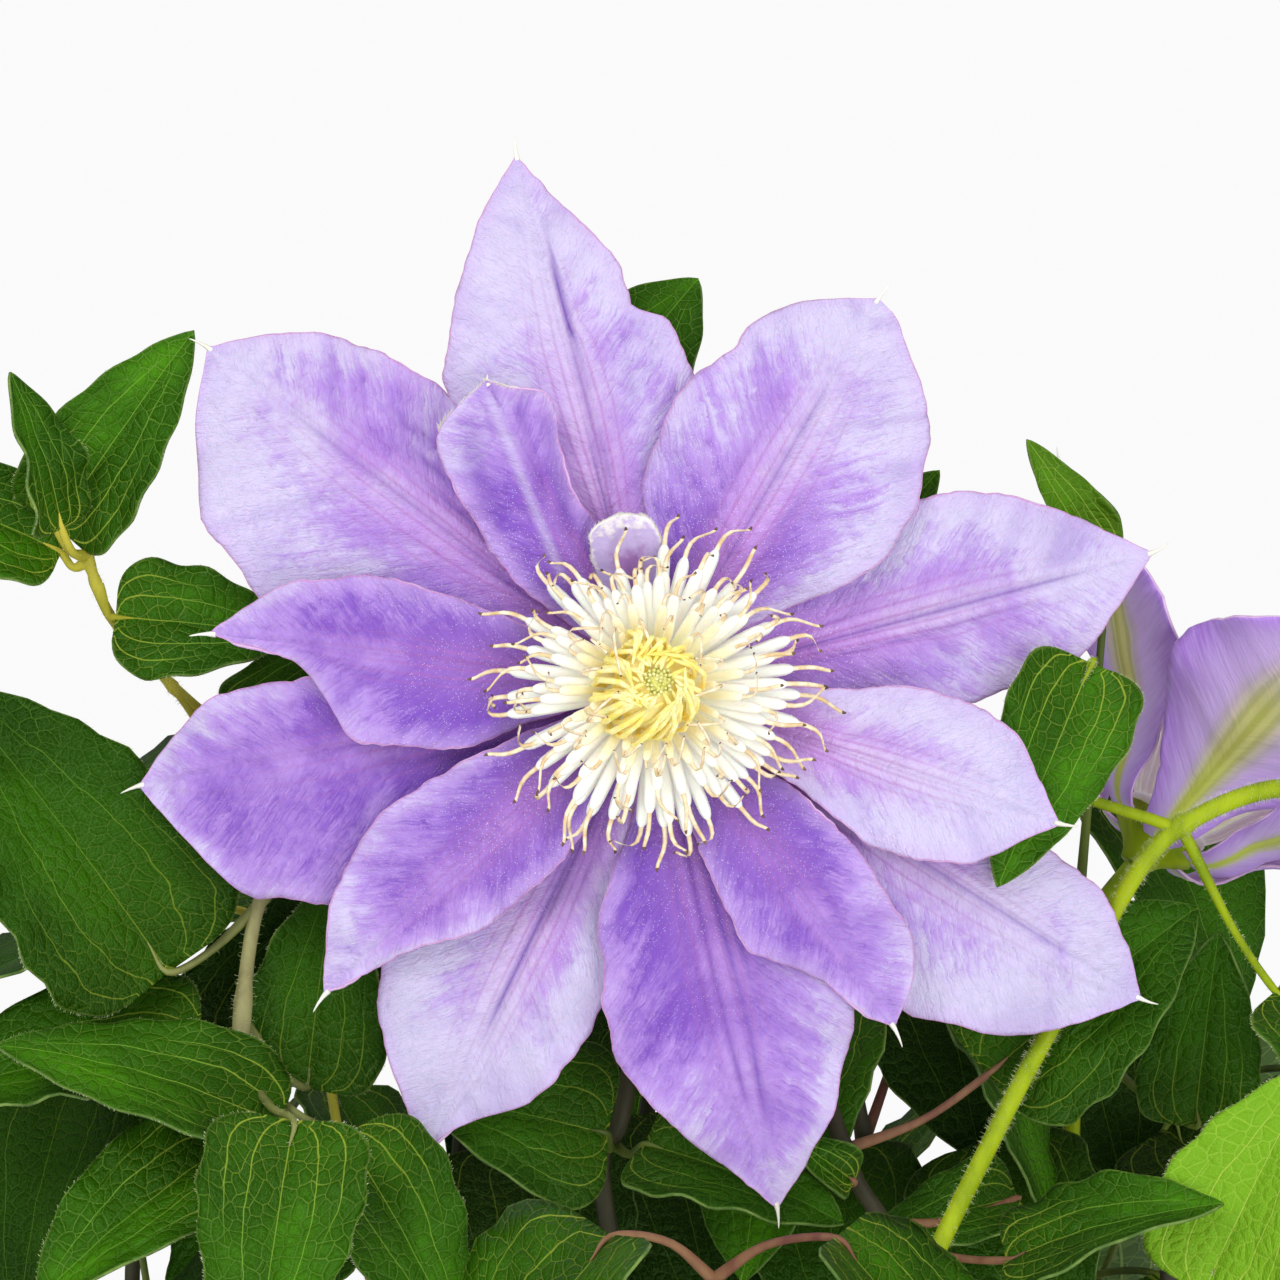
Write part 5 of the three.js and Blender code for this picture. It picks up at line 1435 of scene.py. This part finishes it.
def cutWith(piece, cutters):
    cutter = joinAll("cutter", cutters)
    applyModifier(piece, "BOOLEAN", object=cutter, operation="DIFFERENCE", solver="EXACT")
    bpy.data.objects.remove(cutter)


def roundCutter(x, y, low, high, radius, sides):
    cutter = turnedInMetres("cutterPart", sides, [(low, radius), (high, radius)])
    setPlaces(cutter, placesOf(cutter) + np.array([x, y, 0]) * mm)
    return cutter


def smoothedTo(piece, degrees):
    pick(piece)
    bpy.ops.object.shade_smooth_by_angle(angle=math.radians(degrees))
    return piece


def potInside(z):
    return between(pot["innerFoot"], pot["innerTop"], (z - pot["floor"]) / (pot["height"] - pot["floor"]))


def clayMaterial():
    newMaterial("clay", 0.8)
    places = objectPlaces()
    height = splitOf(places)[2]
    patch = noiseOf(places, 28, 5, 0.65)
    grain = noiseOf(places, 900, 2, 0.6)
    colour = mixed(ranged(patch, 0.3, 0.7), (0.36, 0.135, 0.060), (0.50, 0.22, 0.11))
    colour = mixed(ranged(grain, 0.62, 0.72, 0, 0.5), colour, (0.20, 0.07, 0.035))
    lime = times(ranged(patch, 0.5, 0.75), ranged(height, 0.06, 0.13, 0.1, 0.6))
    colour = mixed(lime, colour, (0.68, 0.52, 0.42))
    # Darker towards the foot of the pot
    darkerBelow = times(ranged(height, 0.03, 0.0), 0.5)
    colour = mixed(darkerBelow, colour, (0.19, 0.08, 0.045))
    rings = maths("SINE", timesPlus(height, 2600.0, times(patch, 9.0)))
    return finished(colour, timesPlus(grain, 0.8, times(rings, 0.25)), 0.45, 0.25)


materials["clay"] = clayMaterial()
potShell = turnedInMetres("pot_shell", 128, potRings)
holes = []
for i in range(pot["holes"]):
    turn = math.tau * i / pot["holes"] + math.pi / 2
    x, y = pot["holeCircle"] * math.cos(turn), pot["holeCircle"] * math.sin(turn)
    holes.append(roundCutter(x, y, -10, pot["holeDepth"], pot["holeRadius"], 32))
cutWith(potShell, holes)
dress(potShell, "clay")
finishPiece(smoothedTo(potShell, 35), "pot", "pot")
print("stage 7: pot")

# The soil: crumbs on a low dome, with a hole for each stem
soil = {
    "bottom": 8.3, "gap": 0.36, "dome": 3, "sides": 120, "rows": 52, "clearance": 0.3,
    "crumbs": 420, "crumbSizes": (0.7, 0.9, 1.2, 1.7), "crumbGap": 3.2,
    "crumbSides": ((0.7, 1.5), (0.6, 1.1), (0.45, 0.8)),
}


def soilHeight(radius):
    return soilTop + soil["dome"] * (1 - radius / potInside(soilTop))


def soilBody():
    rim = potInside(soilTop)
    rings = [(soil["bottom"], potInside(soil["bottom"]) - soil["gap"]), (soilTop, rim - soil["gap"])]
    for i in range(1, soil["rows"]):
        radius = rim * (1 - i / soil["rows"])
        rings.append((soilHeight(radius), radius))
    body = turnedInMetres("soil_body", soil["sides"], rings)
    co = placesOf(body) / mm
    away = np.hypot(co[:, 0], co[:, 1])
    isTop = co[:, 2] > soilTop + 0.02
    rough = noiseAt(co, 0.22, 3) * 1.6 + noiseAt(co, 0.7, 8) * 1.0
    co[:, 2] += np.where(isTop, rough * smooth((rim - 1 - away) / 6), 0)
    setPlaces(body, co * mm)
    return body


def soilCrumbs():
    random.seed(7)
    clearSelection()
    bpy.ops.mesh.primitive_ico_sphere_add(subdivisions=1, radius=1)
    crumb = bpy.context.object
    crumbs = []
    while len(crumbs) < soil["crumbs"]:
        away = math.sqrt(random.random()) * (potInside(soilTop) - 3)
        turn = random.uniform(0, math.tau)
        x, y = away * math.cos(turn), away * math.sin(turn)
        if any(math.dist((x, y), stem["foot"]) < stem["radius"] + soil["crumbGap"] for stem in stems):
            continue
        piece = copyOf(crumb, f"crumb_{len(crumbs)}")
        size = random.choice(soil["crumbSizes"]) * random.uniform(0.8, 1.2)
        shape = np.array([random.uniform(*sides) for sides in soil["crumbSides"]]) * size
        spun = Matrix.Rotation(random.uniform(0, math.tau), 3, "Z")
        spun = spun @ Matrix.Rotation(random.uniform(-0.5, 0.5), 3, "X")
        co = placesOf(piece)
        co = co * (1 + 0.3 * noiseAt(co, 1.3, len(crumbs))[:, None]) * shape
        setPlaces(piece, (co @ np.array(spun).T + np.array([x, y, soilHeight(away) + 0.4 * size])) * mm)
        crumbs.append(piece)
    bpy.data.objects.remove(crumb)
    return crumbs


def soilMaterial():
    newMaterial("potSoil", 0.95)
    places = objectPlaces()
    patch = noiseOf(places, 120, 4, 0.7)
    grain = noiseOf(places, 700, 3, 0.65)
    colour = mixed(ranged(patch, 0.3, 0.7), (0.022, 0.013, 0.008), (0.085, 0.050, 0.028))
    colour = mixed(ranged(grain, 0.64, 0.72, 0, 0.7), colour, (0.24, 0.16, 0.09))
    return finished(colour, grain, 0.7, 0.6)


materials["potSoil"] = soilMaterial()
soilPiece = soilBody()
holeDepth = soilTop - stemSunk - soil["clearance"]
cutWith(soilPiece, [
    roundCutter(*stem["foot"], holeDepth, soilTop + 20, stem["radius"] + soil["clearance"], 16)
    for stem in stems
])
soilPiece = joinAll("soil_top", [soilPiece, *soilCrumbs()])
dress(soilPiece, "potSoil")
finishPiece(smoothedTo(soilPiece, 40), "soil", "soil")
print("stage 8: soil")

# The closed bud: six folded tepals, green below and mauve along their seams
bud = {"sides": 48, "ridges": 6, "ridgeDepth": 0.1, "twist": 0.35, "height": 29, "gap": 0.3}
budRings = [
    (0, 2.2), (0.8, 3.0), (3, 4.6), (6, 5.9), (9, 6.6), (12.5, 6.6), (16, 6.2), (19.5, 5.1), (23, 3.6),
    (26, 2.0), (28, 0.9), (28.9, 0.25),
]


def budMaterial():
    newMaterial("budSkin", 0.6, Sheen_Weight=0.3)
    seam, t, _ = attributeParts("folds")
    grain = noiseOf(objectPlaces(), 500, 3, 0.6)
    colour = mixed(ranged(grain, 0.3, 0.7), (0.17, 0.26, 0.06), (0.32, 0.42, 0.14))
    mauve = times(ranged(seam, 0.2, 0.9), ranged(t, 0.1, 0.6, 0.3, 0.9))
    colour = mixed(mauve, colour, (0.40, 0.26, 0.50))
    return finished(colour, grain, 0.5, 0.3)


def closedBud(stem):
    end, before = stem["path"][-1], curvePoint(stem["path"], 0.999)
    way = (end - before).normalized()
    body = turned("bud_body", bud["sides"], budRings)
    co = placesOf(body)
    turn = np.arctan2(co[:, 1], co[:, 0])
    t = co[:, 2] / bud["height"]
    wave = np.cos(bud["ridges"] * (turn - bud["twist"] * t))
    co[:, :2] *= (1 + bud["ridgeDepth"] * wave * smooth((1 - t) / 0.3))[:, None]
    setPlaces(body, moved(co, bloomFrame(end + way * bud["gap"], way, bloomOut)) * mm)
    setAttribute(body, "folds", np.stack([(1 - wave) / 2, t, t * 0], 1))
    dress(body, "budSkin")
    return smoothed(body)


materials["budSkin"] = budMaterial()
finishPiece(closedBud(byName["stem_right"]), "bud", "bud_right")
print("stage 9: bud")

# Light and floor
light = {"sky": 0.8, "shine": 0.15, "backdrop": 0.96, "key": 7.6, "fill": 8.0}
floorForm = {"sides": 128, "radius": 0.5, "below": 0.0003}


def addWorld():
    world = bpy.data.worlds.new("softRoom")
    bpy.context.scene.world = world
    world.use_nodes = True
    making["tree"] = world.node_tree
    background = world.node_tree.nodes["Background"].inputs
    feed(background[0], (1, 1, 1, 1))
    ray = node("LightPath", {})
    strength = ranged(ray["Is Glossy Ray"], 0.0, 1.0, light["sky"], light["shine"])
    feed(background[1], ranged(ray["Is Camera Ray"], 0.0, 1.0, strength, light["backdrop"]))


def addSoftbox(name, place, size, power):
    data = bpy.data.lights.new(name, "AREA")
    data.size = size
    data.energy = power
    holder = newObject(name, data)
    holder.location = place
    aim = centre * mm - holder.location
    holder.rotation_euler = aim.to_track_quat("-Z", "Y").to_euler()


addWorld()
addSoftbox("keyLight", (-0.6, -0.95, 1.2), 0.7, light["key"])
addSoftbox("fillLight", (0.55, -1.2, 0.28), 0.9, light["fill"])

clearSelection()
bpy.ops.mesh.primitive_circle_add(
    vertices=floorForm["sides"], radius=floorForm["radius"], fill_type="NGON",
    location=(0, 0, -floorForm["below"]),
)
floor = bpy.context.object
floor.name = "floor"
dress(floor, "paleFloor")
bpy.context.scene.view_settings.view_transform = "Standard"
